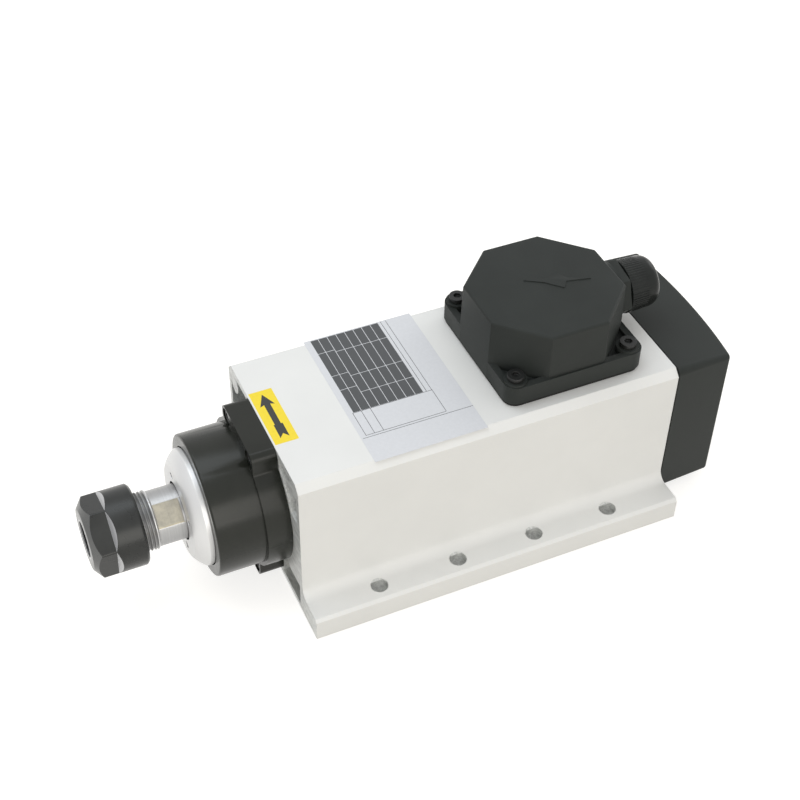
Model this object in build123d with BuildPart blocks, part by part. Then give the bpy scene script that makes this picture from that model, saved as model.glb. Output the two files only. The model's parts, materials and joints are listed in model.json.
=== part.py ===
from build123d import *
from math import cos, radians, sin, tan
import os

# Air-cooled motor spindle with an extruded body on a bolt-down base, a collet nose in front, a
# terminal box on top and a fan under a plastic cover behind.
#
# The origin is on the underside of the base, at the centre of its grid of holes. X runs across,
# Y runs along the spindle with the nose at -Y, and Z points up. Sizes are in millimetres.

# Body extrusion
body_length = 170.0
body_width = 80.0
body_height = 74.0
body_chamfer = 3.2
axis_height = 38.5
base_width = 110.0
base_thickness = 11.0
base_edge_chamfer = 1.3
base_fillet = 5.0
base_hole = 7.2
base_hole_inset = 7.5
base_hole_pitch = 36.0
base_hole_rows = 4
stator_bore = 61.0
outer_wall = 2.7
ring_wall = 3.0
top_channel_start = 19.0
top_channel_drop = 19.3
low_channel_start = 17.0
low_channel_wall = 3.0
low_channel_height = 11.0
lead_hole = 12.0
lead_offset = 8.5
screw_port_depth = 14.0

# Front bearing housing and its flange
flange_radius = 32.0
flange_thickness = 10.5
ear_half_width = 18.0
ear_corner = 4.0
ear_blend = 2.0
barrel_radius = 30.3
barrel_length = 30.4
barrel_edge = 1.0
spigot_length = 8.0
spigot_clearance = 0.03
recess_radius = 25.3
recess_depth = 2.6
web_thickness = 3.3
web_bore = 15.7
ear_screw_x = 13.0
ear_screw_inset = 4.5
ear_screw_length = 16.0
counterbore_radius = 3.9
counterbore_depth = 4.6

# Bearings: bore, outside diameter, width, ball diameter and ball count
front_bore = 25.0
front_outside = 47.0
front_width = 12.0
front_ball = 6.4
front_balls = 10
rear_bore = 15.0
rear_outside = 35.0
rear_width = 11.0
rear_ball = 5.8
rear_balls = 7
seat_clearance = 0.02
ball_clearance = 0.3
cage_thickness = 1.4

# Front bearing retainer
retainer_lip = 3.4
retainer_flange = 3.0
retainer_outside = 58.0
retainer_bore = 33.0
retainer_screws = 3
retainer_screw_circle = 52.4
retainer_screw_length = 8.0
retainer_port_depth = 6.0

# Spindle shaft and nose
nose_thread = 25.0
nose_reach = 30.3
thread_length = 18.2
neck = 23.2
neck_flats = 21.0
flat_angle = 48.5
flat_length = 10.8
shoulder = 30.0
shoulder_gap = 2.0
rotor_seat = 22.0
rotor_step = 4.0
rear_shoulder = 20.0
taper_angle = 8.0
taper_short = 6.0
drawn_hole = 12.0
nose_hole_depth = 60.0
drill_point = 3.0
thread_clearance = 0.1
thread_relief = 0.6
neck_bury = 2.0
shaft_chamfer = 0.8
fan_seat = 12.0
fan_step = 1.5
clip_groove = 0.5
shaft_overhang = 1.0

# Labyrinth ring, threaded on the shaft to clamp the bearings
labyrinth_radius = 24.9
labyrinth_face_radius = 19.5
labyrinth_width = 9.1
labyrinth_bevel = 4.8
labyrinth_bulge = 1.2
labyrinth_step = 0.6
labyrinth_rim = 2.0
labyrinth_gap = 0.4
labyrinth_hub = 15.3
pin_hole = 3.0
pin_hole_circle = 31.0
pin_hole_depth = 2.0
pin_holes = 4
first_pin_hole = 25.0

# Collet and clamping nut
collet_length = 31.5
collet_face = 8.6
collet_land = 10.0
collet_land_width = 1.2
collet_groove = 8.4
collet_groove_width = 2.4
collet_mouth = 10.2
collet_bore = 10.0
collet_slots = 6
collet_slot = 0.8
collet_slot_end = 5.5
collet_slot_angle = 7.5
collet_seat_gap = 0.2
nut_reach = 39.3
nut_width = 21.9
nut_diameter = 34.0
nut_across_flats = 29.6
nut_hex_length = 9.2
nut_hex_runout = 1.5
nut_corner_angle = 17.5
nut_opening = 15.0
nut_bevel = 4.2
nut_bevel_length = 3.2
nut_rear_chamfer = 1.0
nut_cone_angle = 30.0
nut_lip_width = 1.6
nut_lip_bore = 20.5
nut_lip_offset = 1.3
nut_cone_gap = 0.3
collet_face_gap = 0.25
nut_lip_gap = 0.4

# Rotor and stator
stack_from_front = 37.0
stack_from_rear = 53.0
stator_clearance = 0.03
rotor_radius = 18.0
air_gap = 0.3
stator_slots = 18
slot_inner = 20.0
slot_outer = 26.8
slot_mouth = 1.2
slot_width = 3.6
slot_flare = 0.9
slot_liner = 0.15
winding_overhang = 16.0
winding_inner = 19.2
winding_outer = 27.5
rotor_bars = 14
rotor_bar_radius = 1.5
rotor_bar_circle = 31.0
end_ring_width = 6.0
end_ring_step = 0.4

# Rear bearing housing
rear_flange = 5.0
rear_flange_radius = 31.5
rear_spigot = 10.0
rear_lip = 1.8
rear_lip_bore = 24.0
rear_pocket_wall = 4.0
rear_pocket_rim = 3.5
rear_pocket_floor = 3.0
rear_ear_half = 13.5
rear_ear_inset = 3.2
rear_screw_inset = 6.8
rear_screw_z = 9.0
rear_screw_length = 14.0
rear_screw_head = 3.0
preload_gap = 1.2
circlip_width = 1.0
circlip_band = 2.2
circlip_lug = 1.6

# Fan and fan cover
fan_radius = 28.0
fan_plate = 1.6
fan_blade = 1.5
fan_blade_height = 10.4
fan_blade_lean = 28.0
fan_blades = 9
fan_hub = 10.0
fan_hub_length = 12.5
fan_gap = 2.0
cover_depth = 29.4
cover_bottom = 2.8
cover_wall = 2.5
cover_draft = 2.6
cover_corner = 3.2
cover_crown_radius = 250.0
cover_gap = 0.5
cover_edge = 1.5
cover_screw_inset = 7.1
cover_screw_drop = 7.0
cover_screw_low = 17.6
cover_screw_seat = 14.0
cover_screw_bite = 10.0
cover_tower = 4.6
port_boss = 4.2
grille_rings = 5
grille_inner = 6.0
grille_slot = 2.6
grille_pitch = 4.9
grille_rib = 2.6

# Terminal box
box_setback = 45.0
box_x = 64.5
box_y = 63.4
box_shift = 0.35
box_corner = 5.5
gasket_thickness = 1.5
gasket_inset = 0.5
plate_thickness = 8.5
dome_across = 63.0
dome_height = 20.8
dome_draft = 1.0
dome_wall = 3.0
dome_roof = 3.0
dome_corner = 1.2
dome_edge = 1.2
pocket_inset = 3.0
pocket_depth = 2.0
box_screw_x = 27.0
box_screw_y = 26.0
box_boss_radius = 4.8
box_boss_height = 1.0
box_screw_length = 14.0
box_screw_head = 2.2

# Raised lightning flash on the dome, as points from the middle of the box
flash_height = 0.4
flash_outline = [
    (-5.7, -6.9),
    (-3.2, 1.8),
    (-4.4, 7.9),
    (-0.1, 10.7),
    (3.8, 19.5),
    (1.5, 9.1),
    (5.0, 6.5),
    (-1.3, 0.3),
]

# Stator leads
leads = 3
lead_radius = 1.2
lead_pitch = 3.6
lead_depth = 3.0
lead_rise = 3.0
lead_inset = 3.2
lead_bend = 3.5

# Terminal block
block_x = 34.0
block_y = 14.0
block_height = 11.0
block_offset = 13.0
terminals = 4
terminal_pitch = 8.25
terminal_offset = 1.5
terminal_screw_length = 4.0
terminal_screw_head = 2.4
terminal_port = 4.5
barrier = 1.2

# Cable gland
gland_rise = 18.0
gland_thread = 16.0
gland_pad_radius = 12.5
gland_pad = 0.65
gland_hex = 22.0
gland_hex_width = 4.1
gland_hex_angle = 10.0
gland_tail = 1.0
gland_neck = 9.0
gland_neck_wall = 1.6
gland_neck_length = 8.0
gland_nut_gap = 0.6
gland_nut_front = 11.6
gland_nut_rear = 10.8
gland_nut_length = 14.6
gland_nut_edge = 1.6
gland_nut_lip = 2.0
gland_rib_end = 3.5
gland_rib_groove = 0.8
gland_nut_ribs = 24
gland_mouth = 6.5
gland_seal_bore = 4.5
locknut_width = 4.0
locknut_across = 19.0

# Screw threads
m3 = 3.0
m4 = 4.0
tapped_clearance = 0.05
screw_clearance = 0.15

front_face = -body_length / 2
rear_face = body_length / 2
stator_bore_radius = stator_bore / 2
stack_front = front_face + stack_from_front
stack_rear = rear_face - stack_from_rear
stack_length = stack_rear - stack_front
lead_hole_y = stack_rear + lead_offset
box_centre_y = rear_face - box_setback
block_centre_y = box_centre_y - block_offset
gland_height = body_height + gland_rise
box_seat = body_height + gasket_thickness
plate_top = box_seat + plate_thickness
dome_top = plate_top + dome_height

spindle_axis = Axis((0, 0, axis_height), (0, 1, 0))
along_axis = Plane(origin=(0, 0, axis_height), x_dir=(0, 1, 0), z_dir=(1, 0, 0))


def facing_nose(y, height=axis_height):
    """Plane across the spindle at y, seen from the nose: local x is +X and local y is +Z."""
    return Plane(origin=(0, y, height), x_dir=(1, 0, 0), z_dir=(0, -1, 0))


def facing_rear(y, height=axis_height):
    """Plane across the spindle at y, seen from behind: local x is -X and local y is +Z."""
    return Plane(origin=(0, y, height), x_dir=(-1, 0, 0), z_dir=(0, 1, 0))


def turn(*outline, mode=Mode.ADD):
    """Revolve an outline of (y, radius) points about the spindle axis, in the part being built."""
    with BuildSketch(along_axis) as profile:
        with BuildLine():
            Polyline(*outline, close=True)
        make_face()
    revolve(profile.sketch, axis=spindle_axis, mode=mode)


def turned_ring(start, end, inner, outer, mode=Mode.ADD):
    """Plain ring between two places along the axis and two radii."""
    turn((start, inner), (end, inner), (end, outer), (start, outer), mode=mode)


def bolt_circle(radius, count, start_angle=0.0):
    """Points evenly spaced on a circle, in the plane they are used on."""
    angles = [radians(start_angle + 360 * k / count) for k in range(count)]
    return [(radius * cos(a), radius * sin(a)) for a in angles]


def four_corners(x, y):
    """The four corners of a rectangle of half sizes x and y."""
    return [(i * x, j * y) for i in (-1, 1) for j in (-1, 1)]


def drill(plane, points, radius, depth):
    """Round holes from a plane back against its normal, in the part being built."""
    with BuildSketch(plane) as holes:
        with Locations(*points):
            Circle(radius)
    extrude(holes.sketch, amount=-depth, mode=Mode.SUBTRACT)


def cap_screws(seat, points, thread, length, head_height):
    """Screws with socket heads standing on the seat plane and shanks below it."""
    with BuildSketch(seat) as heads:
        with Locations(*points):
            Circle(0.875 * thread)
    with BuildSketch(seat) as shanks:
        with Locations(*points):
            Circle(thread / 2)
    with BuildSketch(seat.offset(head_height)) as sockets:
        with Locations(*points):
            RegularPolygon(0.375 * thread, 6, major_radius=False)
    extrude(heads.sketch, amount=head_height)
    extrude(shanks.sketch, amount=-length)
    extrude(sockets.sketch, amount=-0.55 * head_height, mode=Mode.SUBTRACT)


# Air channels in the section of the extrusion: one in each top corner round a screw port, and
# one each side of the ring's foot
cover_screw_x = body_width / 2 - cover_screw_inset
cover_screw_top = body_height - cover_screw_drop
top_port = (cover_screw_x, cover_screw_top)
low_channel_width = body_width / 2 - low_channel_wall - low_channel_start
channel_side = body_width / 2 - outer_wall
channel_roof = body_height - outer_wall
with BuildSketch() as channels:
    with Locations((top_channel_start, channel_roof)):
        Rectangle(channel_side - top_channel_start, top_channel_drop, align=(Align.MIN, Align.MAX))
    with Locations((low_channel_start, outer_wall)):
        Rectangle(low_channel_width, low_channel_height, align=(Align.MIN, Align.MIN))
    with Locations((0, axis_height)):
        Circle(stator_bore_radius + ring_wall, mode=Mode.SUBTRACT)
    with Locations(top_port):
        Circle(port_boss, mode=Mode.SUBTRACT)
        Rectangle(body_width, body_height, align=(Align.MIN, Align.MIN), mode=Mode.SUBTRACT)
    mirror(about=Plane.YZ)

# Body extrusion
ear_reach = body_height - axis_height
front_screws = four_corners(ear_screw_x, ear_reach - ear_screw_inset)
rear_screws = four_corners(body_width / 2 - rear_screw_inset, rear_screw_z)
cover_heights = (cover_screw_low - axis_height, cover_screw_top - axis_height)
cover_screws = [(x, z) for x in (-cover_screw_x, cover_screw_x) for z in cover_heights]
box_plane = Plane(origin=(0, box_centre_y, 0))
box_screws = four_corners(box_screw_x, box_screw_y)
with BuildPart() as body_extrusion:
    with BuildSketch(facing_nose(rear_face, 0)) as section:
        Rectangle(body_width, body_height, align=(Align.CENTER, Align.MIN))
        Rectangle(base_width, base_thickness, align=(Align.CENTER, Align.MIN))
        top_corners = section.vertices().group_by(Axis.Y)[-1]
        chamfer(top_corners, body_chamfer)
        shelf = section.vertices().group_by(Axis.Y)[1].sort_by(Axis.X)
        fillet(shelf[1:3], base_fillet)
        chamfer(section.vertices().group_by(Axis.X)[0].sort_by(Axis.Y)[-1], base_edge_chamfer)
        chamfer(section.vertices().group_by(Axis.X)[-1].sort_by(Axis.Y)[-1], base_edge_chamfer)
        with Locations((0, axis_height)):
            Circle(stator_bore_radius, mode=Mode.SUBTRACT)
        add(channels.sketch, mode=Mode.SUBTRACT)
    extrude(amount=body_length)
    with BuildSketch(Plane.XY.offset(base_thickness)):
        with GridLocations(base_width - 2 * base_hole_inset, base_hole_pitch, 2, base_hole_rows):
            Circle(base_hole / 2)
    extrude(amount=-base_thickness, mode=Mode.SUBTRACT)
    drill(facing_nose(front_face), front_screws, m4 / 2 + tapped_clearance, screw_port_depth)
    drill(facing_rear(rear_face), rear_screws, m4 / 2 + tapped_clearance, screw_port_depth)
    drill(facing_rear(rear_face), cover_screws, m4 / 2 + tapped_clearance, screw_port_depth)
    drill(box_plane.offset(body_height), box_screws, m4 / 2 + tapped_clearance, 1.5 * outer_wall)
    drill(Plane.XY.offset(body_height), [(0, lead_hole_y)], lead_hole / 2, body_height - axis_height)

# Front bearing housing: a round barrel on a flange with a flat-topped ear above and below
barrel_front = front_face - barrel_length
flange_front = front_face - flange_thickness
recess_floor = barrel_front + recess_depth
bearing_front = recess_floor + web_thickness
bearing_rear = bearing_front + 2 * front_width
front_seat = front_outside / 2 + seat_clearance
spigot_radius = stator_bore_radius - spigot_clearance
spigot_end = front_face + spigot_length
with BuildPart() as front_bearing_housing:
    with BuildSketch(facing_nose(front_face)) as flange_section:
        Rectangle(2 * ear_half_width, 2 * ear_reach)
        fillet(flange_section.vertices(), ear_corner)
        Circle(flange_radius)
        ear_roots = flange_section.vertices().filter_by(lambda v: abs(abs(v.X) - ear_half_width) < 0.01)
        fillet(ear_roots.group_by(Axis.Y)[1] + ear_roots.group_by(Axis.Y)[-2], ear_blend)
    extrude(amount=flange_thickness)
    turn(
        (spigot_end, 0),
        (spigot_end, spigot_radius),
        (flange_front, spigot_radius),
        (flange_front, barrel_radius),
        (barrel_front, barrel_radius),
        (barrel_front, 0),
    )
    fillet(edges().filter_by(GeomType.CIRCLE).sort_by(Axis.Y)[0], barrel_edge)
    turn(
        (barrel_front, 0),
        (barrel_front, recess_radius),
        (recess_floor, recess_radius),
        (recess_floor, web_bore),
        (bearing_front, web_bore),
        (bearing_front, front_seat),
        (spigot_end, front_seat),
        (spigot_end, 0),
        mode=Mode.SUBTRACT,
    )
    drill(facing_nose(flange_front), front_screws, m4 / 2 + screw_clearance, flange_thickness)
    drill(facing_nose(flange_front), front_screws, counterbore_radius, counterbore_depth)
    drill(
        facing_rear(spigot_end),
        bolt_circle(retainer_screw_circle / 2, retainer_screws, 90),
        m3 / 2 + tapped_clearance,
        retainer_port_depth,
    )

with BuildPart() as front_housing_screws:
    cap_screws(facing_nose(flange_front + counterbore_depth), front_screws, m4, ear_screw_length, m4)

# Front bearing pair: rings, balls and cages
race_middle = (front_bore + front_outside) / 4
front_outer_shoulder = race_middle + 0.3 * front_ball
front_inner_shoulder = race_middle - 0.3 * front_ball
front_rows = [bearing_front + front_width * (k + 0.5) for k in range(2)]


def bearing_ring(row, width, inner, outer, groove_circle, ball):
    """Bearing ring centred on row, with its ball groove cut all round."""
    turned_ring(row - width / 2, row + width / 2, inner, outer)
    with BuildSketch(along_axis) as groove:
        with Locations((row, groove_circle)):
            Circle(ball / 2 + ball_clearance)
    revolve(groove.sketch, axis=spindle_axis, mode=Mode.SUBTRACT)


def ball_row(row, circle_radius, ball, count):
    """Balls of one bearing, evenly spaced round the axis."""
    for x, z in bolt_circle(circle_radius, count):
        with Locations((x, row, axis_height + z)):
            Sphere(ball / 2)


def cage(row, circle_radius, ball, count, width):
    """Thin ring with a round pocket for each ball."""
    inner = circle_radius - cage_thickness / 2
    turned_ring(row - width / 2, row + width / 2, inner, inner + cage_thickness)
    for x, z in bolt_circle(circle_radius, count):
        pocket = Plane(origin=(0, row, axis_height), x_dir=(0, 1, 0), z_dir=(x, 0, z))
        with BuildSketch(pocket) as hole:
            Circle(ball / 2 + ball_clearance)
        extrude(hole.sketch, amount=circle_radius + ball, mode=Mode.SUBTRACT)


with BuildPart() as front_bearing_outer_rings:
    for row in front_rows:
        bearing_ring(row, front_width, front_outer_shoulder, front_outside / 2, race_middle, front_ball)

with BuildPart() as front_bearing_inner_rings:
    for row in front_rows:
        bearing_ring(row, front_width, front_bore / 2, front_inner_shoulder, race_middle, front_ball)

with BuildPart() as front_bearing_balls:
    for row in front_rows:
        ball_row(row, race_middle, front_ball, front_balls)

with BuildPart() as front_bearing_cages:
    for row in front_rows:
        cage(row, race_middle, front_ball, front_balls, 0.8 * front_width)

# Retainer: a lip that holds the outer rings, on a flange screwed to the end of the spigot
with BuildPart() as front_bearing_retainer:
    turn(
        (bearing_rear, retainer_bore / 2),
        (spigot_end + retainer_flange, retainer_bore / 2),
        (spigot_end + retainer_flange, retainer_outside / 2),
        (spigot_end, retainer_outside / 2),
        (spigot_end, front_outside / 2),
        (bearing_rear, front_outside / 2),
    )
    turned_ring(
        bearing_rear,
        spigot_end,
        retainer_bore / 2,
        front_outside / 2 - retainer_lip,
        mode=Mode.SUBTRACT,
    )
    drill(
        facing_rear(spigot_end + retainer_flange),
        bolt_circle(retainer_screw_circle / 2, retainer_screws, 90),
        m3 / 2 + screw_clearance,
        retainer_flange,
    )

with BuildPart() as retainer_cap_screws:
    cap_screws(
        facing_rear(spigot_end + retainer_flange),
        bolt_circle(retainer_screw_circle / 2, retainer_screws, 90),
        m3,
        retainer_screw_length,
        m3,
    )

# Spindle shaft: nose with the collet taper, neck with two flats, bearing seats, rotor seat and
# fan seat
ring_front = recess_floor - labyrinth_gap - labyrinth_width
nose_front = ring_front - nose_reach
thread_end = nose_front + thread_length
shoulder_end = stack_front - end_ring_width - shoulder_gap
rear_inner_front = rear_face - rear_spigot + rear_lip + preload_gap
rear_inner_rear = rear_inner_front + rear_width
fan_front = rear_face + rear_flange + fan_gap
clip_place = fan_front + fan_hub_length
shaft_end = clip_place + circlip_width + shaft_overhang
front_seat_radius = front_bore / 2 - seat_clearance
rear_seat_radius = rear_bore / 2 - seat_clearance
mouth_radius = collet_mouth + collet_seat_gap
taper_length = collet_length - taper_short
rear_seat_end = rear_inner_rear + circlip_width + fan_step
with BuildPart() as spindle_shaft:
    turn(
        (nose_front, 0),
        (nose_front, nose_thread / 2 - shaft_chamfer),
        (nose_front + shaft_chamfer, nose_thread / 2 - thread_clearance),
        (thread_end, nose_thread / 2 - thread_clearance),
        (thread_end + thread_relief, neck / 2),
        (ring_front + neck_bury, neck / 2),
        (ring_front + neck_bury, front_seat_radius),
        (bearing_rear, front_seat_radius),
        (bearing_rear, shoulder / 2),
        (shoulder_end, shoulder / 2),
        (shoulder_end, rotor_seat / 2),
        (stack_rear + end_ring_width, rotor_seat / 2),
        (stack_rear + end_ring_width + rotor_step, rear_shoulder / 2),
        (rear_inner_front, rear_shoulder / 2),
        (rear_inner_front, rear_seat_radius),
        (rear_seat_end, rear_seat_radius),
        (rear_seat_end, fan_seat / 2),
        (shaft_end - shaft_chamfer, fan_seat / 2),
        (shaft_end, fan_seat / 2 - shaft_chamfer),
        (shaft_end, 0),
    )
    turn(
        (nose_front, 0),
        (nose_front, mouth_radius),
        (nose_front + taper_length, mouth_radius - taper_length * tan(radians(taper_angle))),
        (nose_front + taper_length, drawn_hole / 2),
        (nose_front + nose_hole_depth, drawn_hole / 2),
        (nose_front + nose_hole_depth + drill_point, 0),
        mode=Mode.SUBTRACT,
    )
    for side in (0, 180):
        face_angle = radians(flat_angle + side)
        normal = (cos(face_angle), 0, sin(face_angle))
        flat_start = (0, thread_end + thread_relief, axis_height)
        flat_plane = Plane(origin=flat_start, x_dir=(0, 1, 0), z_dir=normal)
        with BuildSketch(flat_plane.offset(neck_flats / 2)) as flat:
            Rectangle(flat_length, neck, align=(Align.MIN, Align.CENTER))
        extrude(flat.sketch, amount=neck, mode=Mode.SUBTRACT)
    turned_ring(
        clip_place,
        clip_place + circlip_width,
        fan_seat / 2 - clip_groove,
        fan_seat / 2,
        mode=Mode.SUBTRACT,
    )

# Labyrinth ring: domed bevel round a flat face with pin-spanner holes, a rim inside the housing's
# recess and a hub that clamps the bearings' inner rings
ring_back = ring_front + labyrinth_width
rim_front = ring_front + labyrinth_bevel
rim_rear = rim_front + labyrinth_rim
bevel_rise = labyrinth_radius - labyrinth_face_radius
bevel_slope = (labyrinth_bevel**2 + bevel_rise**2) ** 0.5
bevel_start = (ring_front, labyrinth_face_radius)
bevel_middle = (
    ring_front + labyrinth_bevel / 2 - labyrinth_bulge * bevel_rise / bevel_slope,
    labyrinth_radius - bevel_rise / 2 + labyrinth_bulge * labyrinth_bevel / bevel_slope,
)
with BuildPart() as labyrinth_ring:
    with BuildSketch(along_axis) as ring_profile:
        with BuildLine():
            ThreePointArc(bevel_start, bevel_middle, (rim_front, labyrinth_radius))
            Polyline(
                (rim_front, labyrinth_radius),
                (rim_rear, labyrinth_radius),
                (rim_rear, labyrinth_radius - labyrinth_step),
                (ring_back, labyrinth_radius - labyrinth_step),
                (ring_back, labyrinth_hub),
                (bearing_front, labyrinth_hub),
                (bearing_front, front_bore / 2),
                (ring_front, front_bore / 2),
                bevel_start,
            )
        make_face()
    revolve(ring_profile.sketch, axis=spindle_axis)
    pins = bolt_circle(pin_hole_circle / 2, pin_holes, first_pin_hole)
    drill(facing_nose(ring_front), pins, pin_hole / 2, pin_hole_depth)

# Collet: slotted from both ends, with a groove that the nut's lip pulls on
nut_front = ring_front - nut_reach
cone_slope = tan(radians(nut_cone_angle))
nut_bore_radius = collet_land + nut_cone_gap
cone_back = nut_front + (nut_bore_radius - nut_opening / 2) / cone_slope
collet_front = nut_front + (collet_face + collet_face_gap - nut_opening / 2) / cone_slope
land_front = collet_front + (collet_land - collet_face) / cone_slope
groove_front = land_front + collet_land_width
groove_rear = groove_front + collet_groove_width
collet_rear = collet_front + collet_length
collet_tail = collet_mouth - (collet_rear - groove_rear) * tan(radians(taper_angle))
nut_radius = nut_diameter / 2
with BuildPart() as collet:
    turn(
        (collet_front, collet_bore / 2),
        (collet_front, collet_face),
        (land_front, collet_land),
        (groove_front, collet_land),
        (groove_front, collet_groove),
        (groove_rear, collet_groove),
        (groove_rear, collet_mouth),
        (collet_rear, collet_tail),
        (collet_rear, collet_bore / 2),
    )
    slot_length = collet_length - collet_slot_end
    for k in range(2 * collet_slots):
        turned_by = radians(collet_slot_angle + 180 * k / collet_slots)
        outwards = (cos(turned_by), 0, sin(turned_by))
        start = collet_front if k % 2 == 0 else collet_rear - slot_length
        slot_plane = Plane(origin=(0, start, axis_height), x_dir=(0, 1, 0), z_dir=outwards)
        with BuildSketch(slot_plane) as slot:
            Rectangle(slot_length, collet_slot, align=(Align.MIN, Align.CENTER))
        extrude(slot.sketch, amount=nut_radius, mode=Mode.SUBTRACT)

# Clamping nut: hexagon milled on a round blank, 30 degree cone and an off-centre lip inside
nut_rear = nut_front + nut_width
lip_rear = groove_rear - nut_lip_gap
lip_front = lip_rear - nut_lip_width
hex_rear = nut_front + nut_hex_length
runout_rear = hex_rear + nut_hex_runout
with BuildPart() as hexagon:
    with BuildSketch(facing_nose(hex_rear)) as flats:
        RegularPolygon(nut_across_flats / 2, 6, major_radius=False, rotation=nut_corner_angle)
    extrude(amount=nut_hex_length)
    with BuildSketch(facing_nose(runout_rear)) as flats_end:
        RegularPolygon(nut_radius, 6, major_radius=False, rotation=nut_corner_angle)
    loft([flats.sketch.face(), flats_end.sketch.face()])
    with BuildSketch(facing_nose(nut_rear)):
        Circle(nut_radius)
    extrude(amount=nut_rear - runout_rear)

with BuildPart() as collet_nut:
    turn(
        (nut_rear, 0),
        (nut_rear, nut_radius - nut_rear_chamfer),
        (nut_rear - nut_rear_chamfer, nut_radius),
        (nut_front + nut_bevel_length, nut_radius),
        (nut_front, nut_radius - nut_bevel),
        (nut_front, 0),
    )
    add(hexagon.part, mode=Mode.INTERSECT)
    turn(
        (nut_front, 0),
        (nut_front, nut_opening / 2),
        (cone_back, nut_bore_radius),
        (lip_front, nut_bore_radius),
        (lip_front, 0),
        mode=Mode.SUBTRACT,
    )
    turned_ring(lip_rear, nut_rear, 0, nose_thread / 2, mode=Mode.SUBTRACT)
    drill(facing_nose(lip_front), [(0, nut_lip_offset)], nut_lip_bore / 2, nut_lip_width)

# Stator core: round stack of sheets with open slots
core_inner = rotor_radius + air_gap
core_outer = stator_bore_radius - stator_clearance
half_mouth = slot_mouth / 2
slot_points = [
    (core_inner - 1, -half_mouth),
    (slot_inner, -half_mouth),
    (slot_inner + 0.6, -slot_width / 2),
    (slot_outer, -slot_width / 2 - slot_flare),
    (slot_outer, slot_width / 2 + slot_flare),
    (slot_inner + 0.6, slot_width / 2),
    (slot_inner, half_mouth),
    (core_inner - 1, half_mouth),
]
with BuildPart() as stator_core:
    with BuildSketch(facing_nose(stack_rear)) as core_section:
        Circle(core_outer)
        Circle(core_inner, mode=Mode.SUBTRACT)
        with PolarLocations(0, stator_slots):
            Polygon(*slot_points, align=None, mode=Mode.SUBTRACT)
    extrude(amount=stack_length)

# Windings: a coil side in each slot, joined by the end turns at both ends, with a hole for each
# stator lead
lead_places = [((k - (leads - 1) / 2) * lead_pitch, lead_hole_y) for k in range(leads)]
coil_points = [
    (slot_inner + 1, -slot_width / 2 + slot_liner),
    (slot_outer - slot_liner, -slot_width / 2 - 0.5),
    (slot_outer - slot_liner, slot_width / 2 + 0.5),
    (slot_inner + 1, slot_width / 2 - slot_liner),
]
with BuildPart() as stator_windings:
    with BuildSketch(facing_nose(stack_rear)) as coil_section:
        with PolarLocations(0, stator_slots):
            Polygon(*coil_points, align=None)
    extrude(amount=stack_length)
    for start, out in ((stack_front, -1), (stack_rear, 1)):
        turn(
            (start + out * 0.5, winding_inner + 0.6),
            (start + out * winding_overhang, winding_inner + 2),
            (start + out * winding_overhang, winding_outer - 2),
            (start + out * 3, winding_outer),
            (start + out * 0.5, slot_outer),
        )
    turned_ring(stack_front - 0.5, stack_front, slot_inner + 1.5, slot_outer - 0.5)
    turned_ring(stack_rear, stack_rear + 0.5, slot_inner + 1.5, slot_outer - 0.5)
    winding_top = Plane.XY.offset(axis_height + winding_outer)
    drill(winding_top, lead_places, lead_radius + tapped_clearance, lead_depth)

# Rotor: sheet stack on the shaft, with a cage of bars between two end rings
rotor_bore = rotor_seat / 2 + seat_clearance
ring_outer = rotor_radius - end_ring_step
bar_places = bolt_circle(rotor_bar_circle / 2, rotor_bars)
with BuildPart() as rotor_core:
    turned_ring(stack_front, stack_rear, rotor_bore, rotor_radius)
    drill(facing_rear(stack_rear), bar_places, rotor_bar_radius + seat_clearance, stack_length)

with BuildPart() as rotor_cage:
    turned_ring(stack_front - end_ring_width, stack_front, rotor_bore, ring_outer)
    turned_ring(stack_rear, stack_rear + end_ring_width, rotor_bore, ring_outer)
    with BuildSketch(facing_rear(stack_front)) as bars:
        with Locations(*bar_places):
            Circle(rotor_bar_radius)
    extrude(bars.sketch, amount=stack_length)

# Rear bearing housing: spigot in the stator bore, flange with an ear each side
rear_spigot_front = rear_face - rear_spigot
rear_flange_rear = rear_face + rear_flange
rear_seat = rear_outside / 2 + seat_clearance
with BuildPart() as rear_bearing_housing:
    with BuildSketch(facing_rear(rear_face)) as rear_section:
        Rectangle(body_width - 2 * rear_ear_inset, 2 * rear_ear_half)
        fillet(rear_section.vertices(), ear_corner)
        Circle(rear_flange_radius)
    extrude(amount=rear_flange)
    turned_ring(rear_spigot_front, rear_face, 0, spigot_radius)
    turn(
        (rear_spigot_front, 0),
        (rear_spigot_front, rear_lip_bore / 2),
        (rear_spigot_front + rear_lip, rear_lip_bore / 2),
        (rear_spigot_front + rear_lip, rear_seat),
        (rear_flange_rear, rear_seat),
        (rear_flange_rear, 0),
        mode=Mode.SUBTRACT,
    )
    turned_ring(
        rear_spigot_front,
        rear_face - rear_pocket_floor,
        rear_seat + rear_pocket_wall,
        spigot_radius - rear_pocket_rim,
        mode=Mode.SUBTRACT,
    )
    drill(facing_rear(rear_flange_rear), rear_screws, m4 / 2 + screw_clearance, rear_flange)

with BuildPart() as rear_housing_screws:
    cap_screws(facing_rear(rear_flange_rear), rear_screws, m4, rear_screw_length, rear_screw_head)

# Rear bearing, its wave spring and its circlip
rear_middle = (rear_bore + rear_outside) / 4
rear_outer_shoulder = rear_middle + 0.3 * rear_ball
rear_inner_shoulder = rear_middle - 0.3 * rear_ball
rear_row = (rear_inner_front + rear_inner_rear) / 2
with BuildPart() as rear_bearing_outer_ring:
    bearing_ring(rear_row, rear_width, rear_outer_shoulder, rear_outside / 2, rear_middle, rear_ball)

with BuildPart() as rear_bearing_inner_ring:
    bearing_ring(rear_row, rear_width, rear_bore / 2, rear_inner_shoulder, rear_middle, rear_ball)

with BuildPart() as rear_bearing_balls:
    ball_row(rear_row, rear_middle, rear_ball, rear_balls)

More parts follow.
